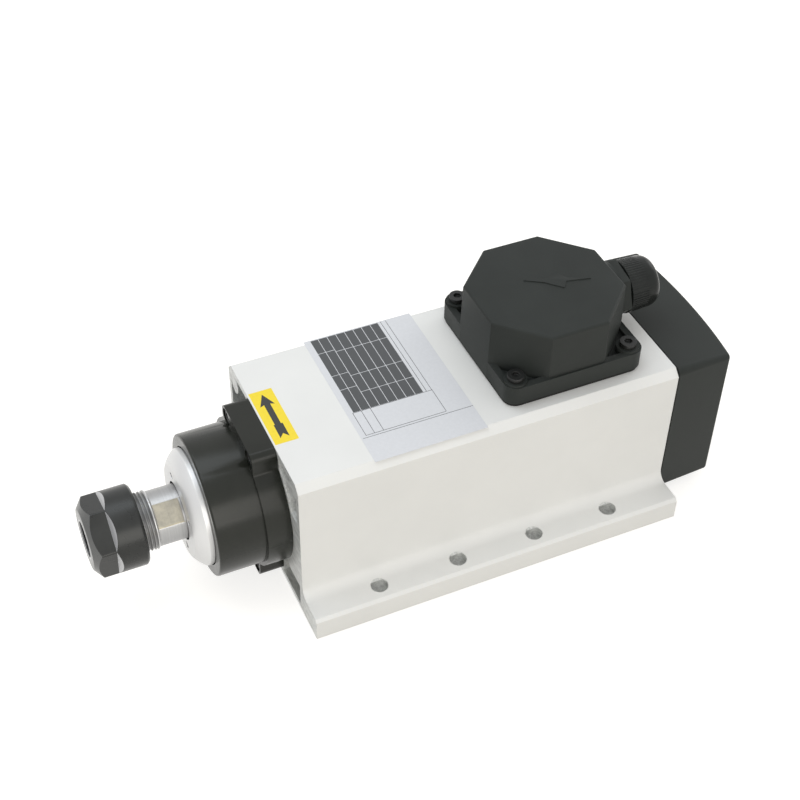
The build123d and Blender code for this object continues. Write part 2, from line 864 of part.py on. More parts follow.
with BuildPart() as rear_bearing_cage:
    cage(rear_row, rear_middle, rear_ball, rear_balls, 0.75 * rear_width)

with BuildPart() as preload_spring:
    spring_front = rear_spigot_front + rear_lip
    turned_ring(spring_front, rear_inner_front, rear_outer_shoulder + 0.5, rear_outside / 2 - 0.3)


def circlip(start, inner):
    """Open ring on a shaft, with two eyed lugs for pliers beside its gap."""
    middle = -inner - circlip_band / 2
    lugs = [(side * circlip_lug, middle - circlip_band / 2) for side in (-1, 1)]
    with BuildSketch(facing_rear(start)) as clip:
        Circle(inner + circlip_band)
        with Locations(*lugs):
            Circle(circlip_lug)
        Circle(inner, mode=Mode.SUBTRACT)
        with Locations((0, middle - circlip_band / 2)):
            Rectangle(circlip_lug, 3 * circlip_band, mode=Mode.SUBTRACT)
        with Locations(*lugs):
            Circle(0.35 * circlip_lug, mode=Mode.SUBTRACT)
    extrude(clip.sketch, amount=circlip_width)


with BuildPart() as rear_bearing_circlip:
    circlip(rear_inner_rear, rear_bore / 2)

# Cooling fan: hub and back plate with curved blades, kept on by a clip
lean = radians(fan_blade_lean)
blade_arc = ThreePointArc(
    (fan_hub - 1, 0),
    (0.6 * fan_radius * cos(lean / 3), 0.6 * fan_radius * sin(lean / 3)),
    ((fan_radius - 1) * cos(lean), (fan_radius - 1) * sin(lean)),
)
with BuildPart() as cooling_fan:
    turned_ring(fan_front, fan_front + fan_plate, fan_seat / 2 + seat_clearance, fan_radius)
    turned_ring(fan_front, fan_front + fan_hub_length, fan_seat / 2 + seat_clearance, fan_hub)
    with BuildSketch(facing_rear(fan_front + fan_plate)) as blades:
        with PolarLocations(0, fan_blades):
            SlotArc(blade_arc, fan_blade)
    extrude(amount=fan_blade_height)

with BuildPart() as fan_clip:
    circlip(clip_place, fan_seat / 2 - clip_groove)

# Fan cover: drafted shell with a crowned back, screw towers and a ring grille
cover_front = rear_face + cover_gap
cover_rear = rear_face + cover_depth
cover_middle = (body_height + cover_bottom) / 2


def cover_block(inset, front, back):
    """Drafted block of the cover's outline, inset all round, with the crown of its back."""
    with BuildPart() as block:
        with BuildSketch(facing_rear(front, cover_middle)) as outline:
            Rectangle(body_width - 2 * inset, body_height - cover_bottom - 2 * inset)
            fillet(outline.vertices(), cover_corner - inset / 2)
        extrude(amount=back - front + 5, taper=cover_draft)
        with Locations((0, back - cover_crown_radius, cover_middle)):
            Cylinder(cover_crown_radius, 2 * body_height, mode=Mode.INTERSECT)
    return block.part


cover_outside = cover_block(0, cover_front, cover_rear)
cover_inside = cover_block(cover_wall, cover_front, cover_rear - cover_wall)
with BuildPart() as fan_cover:
    add(cover_outside)
    fillet(faces().sort_by(Axis.Y)[-1].edges(), cover_edge)
    add(cover_inside, mode=Mode.SUBTRACT)
    with BuildSketch(facing_rear(cover_front)) as towers:
        with Locations(*[(-x, z) for x, z in cover_screws]):
            Circle(cover_tower)
    extrude(towers.sketch, amount=cover_depth - cover_wall - 1)
    drill(facing_rear(cover_rear), cover_screws, m4 / 2 + screw_clearance, cover_depth)
    drill(facing_rear(cover_rear), cover_screws, counterbore_radius, cover_depth - cover_screw_seat)
    with BuildSketch(facing_rear(cover_rear)) as grille:
        for k in reversed(range(grille_rings)):
            Circle(grille_inner + k * grille_pitch + grille_slot)
            Circle(grille_inner + k * grille_pitch, mode=Mode.SUBTRACT)
        Rectangle(grille_rib, 4 * fan_radius, rotation=45, mode=Mode.SUBTRACT)
        Rectangle(grille_rib, 4 * fan_radius, rotation=-45, mode=Mode.SUBTRACT)
    extrude(grille.sketch, amount=-2 * cover_wall, mode=Mode.SUBTRACT)

with BuildPart() as fan_cover_screws:
    cover_screw_length = cover_screw_seat + cover_screw_bite
    cap_screws(facing_rear(rear_face + cover_screw_seat), cover_screws, m4, cover_screw_length, m4)

# Terminal box: gasket, moulded cover with an eight-sided dome, and its screws
cavity_across = dome_across - 2 * dome_wall
inner_wall = box_centre_y + cavity_across / 2
gland_wall = box_centre_y + dome_across / 2 + gland_pad
with BuildPart() as terminal_box_gasket:
    with BuildSketch(box_plane.offset(body_height)) as gasket_outline:
        with Locations((0, box_shift)):
            RectangleRounded(box_x - 2 * gasket_inset, box_y - 2 * gasket_inset, box_corner)
        RegularPolygon(cavity_across / 2, 8, major_radius=False, rotation=22.5, mode=Mode.SUBTRACT)
        with Locations(*box_screws):
            Circle(m4 / 2 + screw_clearance, mode=Mode.SUBTRACT)
    extrude(amount=gasket_thickness)

with BuildPart() as terminal_box_lid:
    with BuildSketch(box_plane.offset(box_seat)):
        with Locations((0, box_shift)):
            RectangleRounded(box_x, box_y, box_corner)
    extrude(amount=plate_thickness)
    with BuildSketch(box_plane.offset(plate_top)):
        with Locations((0, box_shift)):
            Rectangle(box_x - 2 * pocket_inset, box_y - 2 * pocket_inset)
    extrude(amount=-pocket_depth, mode=Mode.SUBTRACT)
    with BuildSketch(box_plane.offset(box_seat)) as dome_foot:
        RegularPolygon(dome_across / 2, 8, major_radius=False, rotation=22.5)
        fillet(dome_foot.vertices(), dome_corner)
    extrude(amount=dome_top - box_seat, taper=dome_draft)
    fillet(faces().sort_by(Axis.Z)[-1].edges(), dome_edge)
    with BuildSketch(box_plane.offset(dome_top)):
        Polygon(*flash_outline, align=None)
    extrude(amount=flash_height)
    with BuildSketch(box_plane.offset(plate_top - pocket_depth)):
        with Locations(*box_screws):
            Circle(box_boss_radius)
    extrude(amount=pocket_depth + box_boss_height)
    with BuildSketch(facing_nose(gland_wall, gland_height)):
        Circle(gland_pad_radius)
    extrude(amount=dome_wall + gland_pad)
    with BuildSketch(box_plane.offset(box_seat)) as cavity:
        RegularPolygon(cavity_across / 2, 8, major_radius=False, rotation=22.5)
    extrude(amount=dome_top - dome_roof - box_seat, mode=Mode.SUBTRACT)
    drill(
        facing_rear(gland_wall, gland_height),
        [(0, 0)],
        gland_thread / 2 + tapped_clearance,
        gland_wall - inner_wall + dome_wall,
    )
    drill(
        box_plane.offset(dome_top),
        box_screws,
        m4 / 2 + screw_clearance,
        dome_top - box_seat,
    )

boss_top = plate_top + box_boss_height
with BuildPart() as terminal_box_screws:
    cap_screws(box_plane.offset(boss_top), box_screws, m4, box_screw_length, box_screw_head)

# Terminal block: barriers between the terminals, and a clamp screw on each
block_middle = Plane(origin=(0, block_centre_y, body_height))
terminal_places = [
    ((k - (terminals - 1) / 2) * terminal_pitch, -terminal_offset) for k in range(terminals)
]
with BuildPart() as terminal_block:
    with BuildSketch(block_middle):
        Rectangle(block_x, block_y)
    extrude(amount=block_height)
    with BuildSketch(block_middle.offset(block_height)) as wells:
        with Locations(*terminal_places):
            Rectangle(terminal_pitch - barrier, block_y)
    extrude(amount=-block_height / 2, mode=Mode.SUBTRACT)
    drill(block_middle.offset(block_height / 2), terminal_places, m4 / 2 + tapped_clearance, terminal_port)

well_floor = body_height + block_height / 2
with BuildPart() as terminal_screws:
    cap_screws(
        block_middle.offset(block_height / 2),
        terminal_places,
        m4,
        terminal_screw_length,
        terminal_screw_head,
    )

# Stator leads: from the end turns up through the body's top and over to the terminals
lead_foot = axis_height + winding_outer - lead_depth + 0.5
lead_top = body_height + block_height + lead_rise
lead_end_y = block_centre_y + block_y / 2 - lead_inset
with BuildPart() as stator_leads:
    for (lead_x, lead_y), (terminal_x, _) in zip(lead_places, terminal_places):
        with BuildLine() as route:
            FilletPolyline(
                (lead_x, lead_y, lead_foot),
                (lead_x, lead_y, lead_top),
                (terminal_x, lead_end_y, lead_top),
                (terminal_x, lead_end_y, well_floor + 0.05),
                radius=lead_bend,
            )
        with BuildSketch(Plane.XY.offset(lead_foot)) as wire:
            with Locations((lead_x, lead_y)):
                Circle(lead_radius)
        sweep(wire.sketch, path=route.line)

# Cable gland in the rear wall of the box
hex_rear_face = gland_wall + gland_hex_width
neck_rear = hex_rear_face + gland_neck_length
gland_neck_bore = gland_neck - gland_neck_wall
gland_tube = gland_mouth - tapped_clearance
tail_end = inner_wall - locknut_width - gland_tail
seal_front = hex_rear_face - gland_tail
seal_rear = hex_rear_face + gland_nut_gap + gland_nut_length - gland_nut_lip - tapped_clearance
gland_nut_start = hex_rear_face + gland_nut_gap
gland_nut_end = gland_nut_start + gland_nut_length
gland_axis = Axis((0, 0, gland_height), (0, 1, 0))
along_gland = Plane(origin=(0, 0, gland_height), x_dir=(0, 1, 0), z_dir=(1, 0, 0))


def turn_gland(*outline, mode=Mode.ADD):
    """Revolve an outline of (y, radius) points about the gland's axis, in the part being built."""
    with BuildSketch(along_gland) as profile:
        with BuildLine():
            Polyline(*outline, close=True)
        make_face()
    revolve(profile.sketch, axis=gland_axis, mode=mode)


with BuildPart() as gland_body:
    with BuildSketch(facing_rear(gland_wall, gland_height)):
        RegularPolygon(gland_hex / 2, 6, major_radius=False, rotation=gland_hex_angle)
    extrude(amount=gland_hex_width)
    turn_gland(
        (tail_end, 0),
        (tail_end, gland_thread / 2),
        (gland_wall, gland_thread / 2),
        (gland_wall, gland_neck),
        (neck_rear, gland_neck),
        (neck_rear, 0),
    )
    turn_gland(
        (tail_end, 0),
        (tail_end, gland_tube),
        (seal_front, gland_tube),
        (seal_front, gland_neck_bore),
        (neck_rear, gland_neck_bore),
        (neck_rear, 0),
        mode=Mode.SUBTRACT,
    )

with BuildPart() as gland_locknut:
    with BuildSketch(facing_nose(inner_wall, gland_height)):
        RegularPolygon(locknut_across / 2, 6, major_radius=False)
        Circle(gland_thread / 2 + tapped_clearance, mode=Mode.SUBTRACT)
    extrude(amount=locknut_width)

with BuildPart() as gland_seal:
    turn_gland(
        (seal_front, gland_seal_bore),
        (seal_front, gland_neck_bore - tapped_clearance),
        (neck_rear, gland_neck_bore - tapped_clearance),
        (seal_rear, gland_mouth - thread_clearance),
        (seal_rear, gland_seal_bore),
    )

with BuildPart() as gland_nut:
    turn_gland(
        (gland_nut_start, gland_neck + thread_clearance),
        (gland_nut_start, gland_nut_front),
        (gland_nut_end - gland_nut_edge, gland_nut_rear),
        (gland_nut_end, gland_nut_rear - gland_nut_edge),
        (gland_nut_end, gland_mouth),
        (gland_nut_end - gland_nut_lip, gland_mouth),
        (neck_rear + thread_clearance, gland_neck + thread_clearance),
    )
    with BuildSketch(facing_rear(gland_nut_start, gland_height)) as flutes:
        with Locations(*bolt_circle(gland_nut_front + gland_rib_groove / 2, gland_nut_ribs)):
            Circle(gland_rib_groove)
    extrude(flutes.sketch, amount=gland_nut_length - gland_rib_end, mode=Mode.SUBTRACT)

pieces = {
    "body_extrusion": body_extrusion,
    "front_bearing_housing": front_bearing_housing,
    "front_housing_screws": front_housing_screws,
    "front_bearing_outer_rings": front_bearing_outer_rings,
    "front_bearing_inner_rings": front_bearing_inner_rings,
    "front_bearing_balls": front_bearing_balls,
    "front_bearing_cages": front_bearing_cages,
    "front_bearing_retainer": front_bearing_retainer,
    "retainer_screws": retainer_cap_screws,
    "spindle_shaft": spindle_shaft,
    "labyrinth_ring": labyrinth_ring,
    "collet": collet,
    "collet_nut": collet_nut,
    "stator_core": stator_core,
    "stator_windings": stator_windings,
    "stator_leads": stator_leads,
    "rotor_core": rotor_core,
    "rotor_cage": rotor_cage,
    "rear_bearing_housing": rear_bearing_housing,
    "rear_housing_screws": rear_housing_screws,
    "rear_bearing_outer_ring": rear_bearing_outer_ring,
    "rear_bearing_inner_ring": rear_bearing_inner_ring,
    "rear_bearing_balls": rear_bearing_balls,
    "rear_bearing_cage": rear_bearing_cage,
    "preload_spring": preload_spring,
    "rear_bearing_circlip": rear_bearing_circlip,
    "cooling_fan": cooling_fan,
    "fan_clip": fan_clip,
    "fan_cover": fan_cover,
    "fan_cover_screws": fan_cover_screws,
    "terminal_box_gasket": terminal_box_gasket,
    "terminal_box_lid": terminal_box_lid,
    "terminal_box_screws": terminal_box_screws,
    "terminal_block": terminal_block,
    "terminal_screws": terminal_screws,
    "gland_body": gland_body,
    "gland_locknut": gland_locknut,
    "gland_seal": gland_seal,
    "gland_nut": gland_nut,
}

os.makedirs("parts", exist_ok=True)
for name, piece in pieces.items():
    piece.part.label = name
    export_step(piece.part, f"parts/{name}.step")
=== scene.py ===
import json
from math import cos, pi, radians, sin, tan

import bmesh
import bpy
import numpy as np
from bpy.props import FloatProperty, FloatVectorProperty, IntProperty, PointerProperty
from bpy.types import Operator, Panel, PropertyGroup
from mathutils import Matrix, Vector


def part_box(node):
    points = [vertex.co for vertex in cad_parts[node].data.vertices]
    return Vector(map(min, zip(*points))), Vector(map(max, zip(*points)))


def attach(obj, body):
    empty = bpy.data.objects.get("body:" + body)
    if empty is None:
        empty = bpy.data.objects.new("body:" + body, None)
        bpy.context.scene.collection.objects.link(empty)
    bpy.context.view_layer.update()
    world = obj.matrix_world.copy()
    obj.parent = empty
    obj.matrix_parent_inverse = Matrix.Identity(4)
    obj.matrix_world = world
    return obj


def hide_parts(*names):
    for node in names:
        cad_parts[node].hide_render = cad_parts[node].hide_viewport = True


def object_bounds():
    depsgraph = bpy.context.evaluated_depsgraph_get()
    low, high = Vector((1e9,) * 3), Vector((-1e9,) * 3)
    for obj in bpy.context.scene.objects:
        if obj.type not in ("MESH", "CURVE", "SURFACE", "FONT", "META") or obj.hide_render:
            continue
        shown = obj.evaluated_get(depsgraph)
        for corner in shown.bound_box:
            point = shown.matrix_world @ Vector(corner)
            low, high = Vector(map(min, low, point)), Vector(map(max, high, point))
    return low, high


bl_info = {
    "name": "Motor Spindle Looks",
    "version": (1, 0, 0),
    "blender": (4, 5, 0),
    "location": "3D View > Sidebar > Motor Spindle",
    "description": "Dresses a motor spindle with turned, moulded and printed surfaces",
    "category": "Add Mesh",
}

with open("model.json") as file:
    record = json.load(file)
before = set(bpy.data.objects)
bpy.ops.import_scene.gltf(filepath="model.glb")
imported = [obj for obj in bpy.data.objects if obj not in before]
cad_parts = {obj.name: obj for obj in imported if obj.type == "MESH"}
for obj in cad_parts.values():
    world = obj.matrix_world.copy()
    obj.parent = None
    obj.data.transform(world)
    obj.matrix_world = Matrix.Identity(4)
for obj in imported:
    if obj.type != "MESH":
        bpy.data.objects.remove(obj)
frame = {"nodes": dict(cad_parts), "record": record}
CAD_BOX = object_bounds()

MM = 0.001
BODY_LOW, BODY_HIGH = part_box("body_extrusion")
NUT_LOW, NUT_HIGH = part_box("collet_nut")
RING_LOW, RING_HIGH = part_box("labyrinth_ring")
SHAFT_LOW, SHAFT_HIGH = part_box("spindle_shaft")
GLAND_LOW, GLAND_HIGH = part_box("gland_nut")
AXIS_HEIGHT = (NUT_LOW.z + NUT_HIGH.z) / 2
GLAND_HEIGHT = (GLAND_LOW.z + GLAND_HIGH.z) / 2
BODY_TOP = BODY_HIGH.z
BODY_FRONT = BODY_LOW.y
WALL_INSIDE = 37.5 * MM
ROOF_INSIDE = 71.5 * MM
BASE_HOLE_PLACE = 47.5 * MM
BASE_HOLE_PITCH = 36 * MM
BASE_HOLE_REACH = 3.85 * MM


def length(name, description, default):
    """A length in metres for the sidebar, given in millimetres."""
    return FloatProperty(name=name, description=description, default=default * MM, unit="LENGTH", precision=5)


def colour(name, description, default):
    """A linear colour for the sidebar."""
    return FloatVectorProperty(
        name=name, description=description, default=default, subtype="COLOR", size=3, min=0.0, max=1.0
    )


def fraction(name, description, default):
    """A value between nothing and all for the sidebar."""
    return FloatProperty(
        name=name, description=description, default=default, subtype="FACTOR", min=0.0, max=1.0
    )


def count(name, description, default):
    """A whole number for the sidebar."""
    return IntProperty(name=name, description=description, default=default)


def power(name, description, watts):
    """A lamp's power for the sidebar."""
    return FloatProperty(name=name, description=description, default=watts, unit="POWER")


def angle(name, description, degrees):
    """An angle for the sidebar, given in degrees."""
    return FloatProperty(name=name, description=description, default=radians(degrees), subtype="ANGLE")


class SpindleCameraSettings(PropertyGroup):
    azimuth: angle("Azimuth", "Angle round the spindle, where 0 looks along it from the nose", 65.0983)
    elevation: angle("Elevation", "Angle above the floor", 43.4577)
    roll: angle("Roll", "Turn about the line of sight", 1.17)
    aim_right: length("Aim Right", "How far the aim point lies right of the body's front edge", 56.3178)
    aim_up: length("Aim Up", "How far the aim point lies above the body's front edge", 62.7891)
    distance: length("Distance", "Distance from the aim point", 638.848)
    lens: FloatProperty(name="Lens", description="Focal length", default=66.478, unit="CAMERA")


class SpindleStageSettings(PropertyGroup):
    floor_colour: colour("Floor", "Colour of the floor", (0.54, 0.52, 0.48))
    floor_size: length("Floor Size", "Width of the floor", 12000)
    floor_glow: fraction("Floor Glow", "White added to the floor where it shows", 0.72)
    world_strength: fraction("World", "Strength of the light from all round", 0.62)
    key_power: power("Key", "Power of the lamp above", 3.2)
    side_power: power("Side", "Power of the lamp beside the camera", 3.1)
    back_power: power("Back", "Power of the lamp behind", 1.2)
    key_colour: colour("Key Colour", "Colour of the lamp above", (0.88, 0.945, 1.0))
    side_colour: colour("Side Colour", "Colour of the lamp beside the camera", (1.0, 0.965, 0.90))
    back_colour: colour("Back Colour", "Colour of the lamp behind", (1.0, 1.0, 1.0))


class SpindleFinishSettings(PropertyGroup):
    body_colour: colour("Body", "Blasted and anodised extrusion", (0.82, 0.82, 0.80))
    bare_colour: colour("Bare Alloy", "Sawn ends and the inside of the extrusion", (0.72, 0.73, 0.71))
    housing_colour: colour("Housing", "Black anodised bearing housing", (0.015, 0.0162, 0.0128))
    plastic_colour: colour("Plastic", "Black moulded plastic", (0.027, 0.030, 0.028))
    oxide_colour: colour("Black Oxide", "Blackened steel", (0.024, 0.025, 0.024))
    steel_colour: colour("Steel", "Ground steel", (0.40, 0.40, 0.40))
    turned_colour: colour("Turned Alloy", "Bright turned alloy", (0.72, 0.72, 0.72))
    rubber_colour: colour("Rubber", "Gasket and seal", (0.012, 0.012, 0.012))
    copper_colour: colour("Copper", "Varnished windings", (0.42, 0.17, 0.07))
    core_colour: colour("Core", "Sheet stacks", (0.20, 0.20, 0.21))
    brass_colour: colour("Brass", "Cages and terminals", (0.60, 0.44, 0.18))


class SpindlePlateSettings(PropertyGroup):
    sheet_colour: colour("Sheet", "Ground of the plate", (0.71, 0.72, 0.745))
    field_colour: colour("Fields", "Dark fields of the table", (0.070, 0.074, 0.078))
    thickness: length("Thickness", "Thickness of the plate", 0.08)
    print_height: length("Print", "Height of the printed fields above the plate", 0.02)
    line_width: length("Line", "Width of a printed line", 0.26)
    sticker_colour: colour("Sticker", "Ground of the arrow sticker", (0.93, 0.72, 0.03))
    arrow_colour: colour("Arrow", "The arrow", (0.026, 0.028, 0.025))


class SpindleShaftSettings(PropertyGroup):
    pitch: length("Pitch", "Pitch of the nose thread", 1.5)
    depth: length("Depth", "Depth of the nose thread", 0.8)
    thread_radius: length("Thread Radius", "Radius of the nose thread over its crests", 12.4)
    thread_length: length("Thread Length", "Length of the nose thread", 18.2)
    neck: length("Neck", "Radius of the neck behind the thread", 11.6)
    relief: length("Relief", "Length of the cone between the thread and the neck", 0.6)
    mouth: length("Mouth", "Radius of the collet's taper at its mouth", 10.4)
    taper: angle("Taper", "Slope of the collet's taper", 8.0)
    taper_length: length("Taper Length", "Length of the collet's taper", 25.5)
    hole: length("Hole", "Radius of the hole behind the taper", 6.0)
    hole_depth: length("Hole Depth", "Depth of that hole from the nose", 60.0)
    flats: length("Flats", "Distance between the two wrench flats", 21.0)
    flat_angle: angle("Flat Angle", "Direction that a flat faces, from across to up", 48.5)
    flat_length: length("Flat Length", "Length of the wrench flats", 10.8)
    steps: count("Steps", "Points round the shaft", 128)


class SpindleRingSettings(PropertyGroup):
    bore: length("Bore", "Radius of the ring's bore", 12.5)
    face_radius: length("Face", "Radius of the flat face", 19.5)
    bevel: length("Bevel", "Length of the domed bevel", 4.8)
    bulge: length("Bulge", "How far the bevel stands out from its chord", 0.45)
    rim: length("Rim", "Width of the rim", 2.0)
    step: length("Step", "Depth of the step behind the rim", 0.6)
    hub: length("Hub", "Radius of the hub", 15.3)
    hub_depth: length("Hub Depth", "Length of the hub behind the ring", 3.7)
    hole: length("Pin Hole", "Radius of a pin hole", 1.5)
    hole_circle: length("Pin Circle", "Radius of the circle of pin holes", 15.5)
    hole_depth: length("Pin Depth", "Depth of a pin hole", 2.0)
    first_hole: angle("First Pin Hole", "Direction of the first pin hole, from across to up", 25.0)
    steps: count("Steps", "Points round the ring", 288)


class SpindleNutSettings(PropertyGroup):
    across_flats: length("Across Flats", "Width of the hexagon", 29.6)
    hex_length: length("Hexagon", "Length of the hexagon from the front", 9.2)
    shoulder: length("Shoulder", "Length of the slope behind each flat", 1.7)
    corner_angle: angle("Corner", "Direction of a corner, from across to up", 17.5)
    bevel: length("Bevel", "How far the front cone reaches in from the rim", 4.2)
    bevel_length: length("Bevel Length", "Length of the front cone", 3.2)
    opening: length("Opening", "Radius of the opening", 7.5)
    bore: length("Bore", "Radius of the bore behind the inner cone", 10.3)
    cone: angle("Cone", "Slope of the inner cone", 30.0)
    lip_place: length("Lip Place", "Distance of the inner lip from the front", 6.37)
    lip_width: length("Lip Width", "Width of the inner lip", 1.6)
    lip_bore: length("Lip Bore", "Radius of the inner lip", 10.25)
    lip_offset: length("Lip Offset", "How far the lip's centre lies above the axis", 1.3)
    thread_gap: length("Thread Gap", "Gap between the nut's thread and the shaft's", 0.1)
    rear_edge: length("Rear Edge", "Bevel of the rear rim", 1.0)
    blend: length("Blend", "Width over which the flats' edges are rounded", 0.16)
    steps: count("Steps", "Points round the nut", 360)


class SpindleGlandSettings(PropertyGroup):
    front_radius: length("Front Radius", "Radius over the ribs in front", 11.6)
    rear_radius: length("Rear Radius", "Radius before the domed end", 11.1)
    dome: length("Dome", "Length of the domed end", 4.2)
    mouth: length("Mouth", "Radius of the mouth", 6.5)
    mouth_depth: length("Mouth Depth", "Depth of the mouth", 2.0)
    skirt: length("Skirt", "Inner radius of the skirt", 9.1)
    skirt_depth: length("Skirt Depth", "Length of the skirt's straight inside", 7.5)
    ribs: count("Ribs", "Number of ribs round the nut", 60)
    rib_depth: length("Rib Depth", "Depth of the grooves between the ribs", 0.22)
    rib_length: length("Rib Length", "Length of the ribs", 9.0)
    steps: count("Steps", "Points round the nut", 320)


SETTINGS = {
    "spindle_camera": SpindleCameraSettings,
    "spindle_stage": SpindleStageSettings,
    "spindle_finish": SpindleFinishSettings,
    "spindle_plate": SpindlePlateSettings,
    "spindle_shaft": SpindleShaftSettings,
    "spindle_ring": SpindleRingSettings,
    "spindle_nut": SpindleNutSettings,
    "spindle_gland": SpindleGlandSettings,
}


def grid_piece(name, points, closed=False):
    """A surface through an array of points, one row for each step of the first parameter.

    Each cell of the grid becomes one face. A closed surface joins each row's end to its start.
    """
    rows, columns = points.shape[:2]
    a, b = np.meshgrid(np.arange(rows - 1), np.arange(columns if closed else columns - 1), indexing="ij")
    here, below, b2 = a * columns, (a + 1) * columns, (b + 1) % columns
    faces = np.stack([here + b, here + b2, below + b2, below + b], axis=-1).reshape(-1, 4)
    return mesh_piece(name, points.reshape(-1, 3), faces.tolist())


def mesh_piece(name, points, faces):
    """A mesh of its points and faces, in the scene under its piece's name."""
    mesh = bpy.data.meshes.new(name)
    mesh.from_pydata(points.tolist(), [], faces)
    mesh.update()
    return link_piece(name, mesh)


def link_piece(name, mesh):
    """Puts a mesh in the scene under its piece's name."""
    piece = bpy.data.objects.new(name, mesh)
    bpy.context.scene.collection.objects.link(piece)
    return piece


def closed_and_smooth(piece, sharp):
    """Merges doubled points, turns every face outwards and smooths all but the sharp edges."""
    shell = bmesh.new()
    shell.from_mesh(piece.data)
    bmesh.ops.remove_doubles(shell, verts=shell.verts, dist=1e-6)
    bmesh.ops.recalc_face_normals(shell, faces=shell.faces)
    shell.to_mesh(piece.data)
    shell.free()
    piece.data.shade_smooth()
    piece.data.set_sharp_from_angle(angle=radians(sharp))
    return piece


def smooth_least(a, b, blend):
    """The lesser of two values, rounded over a width where they meet."""
    spread = np.clip(0.5 + 0.5 * (b - a) / blend, 0.0, 1.0)
    return b * (1 - spread) + a * spread - blend * spread * (1 - spread)


def outline_points(corners, ease):
    """Points along an outline of (place, radius, spacing) corners, in metres, some with a rise.

    Each inner corner becomes a short curve that leaves its two sides at the ease's distance: the
    start, the corner and the end weighted by (1-t)^2, 2t(1-t) and t^2. Each side is then cut into
    parts no longer than the spacing given with its first corner.
    """
    corners = np.array([(*corner, 0.0)[:4] for corner in corners], dtype=float)
    weights = np.linspace(0, 1, 5)[1:, None]
    line = corners[:1, [0, 1, 3]]
    spacing = corners[0, 2]
    for before, corner, after in zip(corners[:-2], corners[1:-1], corners[2:]):
        start, middle, end = (p[[0, 1, 3]] for p in (before, corner, after))
        reach = min(ease, 0.45 * np.linalg.norm(start - middle), 0.45 * np.linalg.norm(end - middle))
        leave = middle + (start - middle) * reach / np.linalg.norm(start - middle)
        join = middle + (end - middle) * reach / np.linalg.norm(end - middle)
        bend = (1 - weights) ** 2 * leave + 2 * weights * (1 - weights) * middle + weights**2 * join
        line = np.vstack([straight_run(line, leave, spacing), bend])
        spacing = corner[2]
    return straight_run(line, corners[-1, [0, 1, 3]], spacing)


def straight_run(line, end, spacing):
    """The line carried on to its next point, in equal parts no longer than the spacing."""
    parts = max(1, int(np.ceil(np.linalg.norm(end - line[-1]) / spacing)))
    share = np.linspace(0, 1, parts + 1)[1:, None]
    return np.vstack([line, line[-1] + (end - line[-1]) * share])


def turned_piece(node, finish, outline, steps, reshape=None, sink=None, sharp=35.0, height=AXIS_HEIGHT):
    """A form turned about a line along the spindle at a height, in place of a CAD node.

    A point's distance from the line is the outline's radius, which may be reshaped by place and
    angle. Its place along the line may be sunk by radius and angle, and its circle may lie above
    the line by the outline's rise.
    """
    turn = np.linspace(0, 2 * pi, steps, endpoint=False)[None, :]
    place, radius, rise = (outline[:, [k]] for k in range(3))
    place, turn, radius = np.broadcast_arrays(place, turn, radius)
    if reshape is not None:
        radius = reshape(place, turn, radius)
    if sink is not None:
        place = sink(place, turn, radius)
    points = np.stack([radius * np.cos(turn), place, height + rise + radius * np.sin(turn)], axis=-1)
    piece = closed_and_smooth(grid_piece(node + "_surface", points, closed=True), sharp)
    return dress(piece, node, material(finish))


def thread_groove(place, turn, pitch):
    """Depth of a thread's groove, from none to one: half a cosine wave of place and turn."""
    return 0.5 - 0.5 * np.cos(2 * pi * place / pitch + turn)


def slot_of(node):
    """The record's material slot of a CAD node."""
    return next(s["material_slot"] for s in frame["record"]["subparts"] if s["node"] == node)


def dress(piece, node, material):
    """Lets a piece stand for a CAD node: it takes the given material, hides the node and rides on the node's
    body.
    """
    piece.data.materials.clear()
    piece.data.materials.append(material)
    body = next(b for b, names in frame["record"]["behaviour"]["bodies"].items() if node in names)
    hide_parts(node)
    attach(piece, body)
    return piece


def eased_copy(node, material, width=0.0, sharp=32.0):
    """A copy of a CAD node with merged points, smooth curved faces and its hard edges eased."""
    mesh = frame["nodes"][node].data.copy()
    mesh.name = node + "_surface"
    shell = bmesh.new()
    shell.from_mesh(mesh)
    bmesh.ops.remove_doubles(shell, verts=shell.verts, dist=2e-6)
    bmesh.ops.dissolve_limit(
        shell, angle_limit=radians(0.5), verts=shell.verts, edges=shell.edges, use_dissolve_boundaries=False
    )
    shell.to_mesh(mesh)
    shell.free()
    mesh.shade_smooth()
    mesh.set_sharp_from_angle(angle=radians(sharp))
    piece = link_piece(node + "_surface", mesh)
    if width:
        bevel = piece.modifiers.new("Eased edges", "BEVEL")
        bevel.width = width * MM
        bevel.segments = 2
        bevel.limit_method = "ANGLE"
        bevel.angle_limit = radians(sharp)
    return dress(piece, node, material)


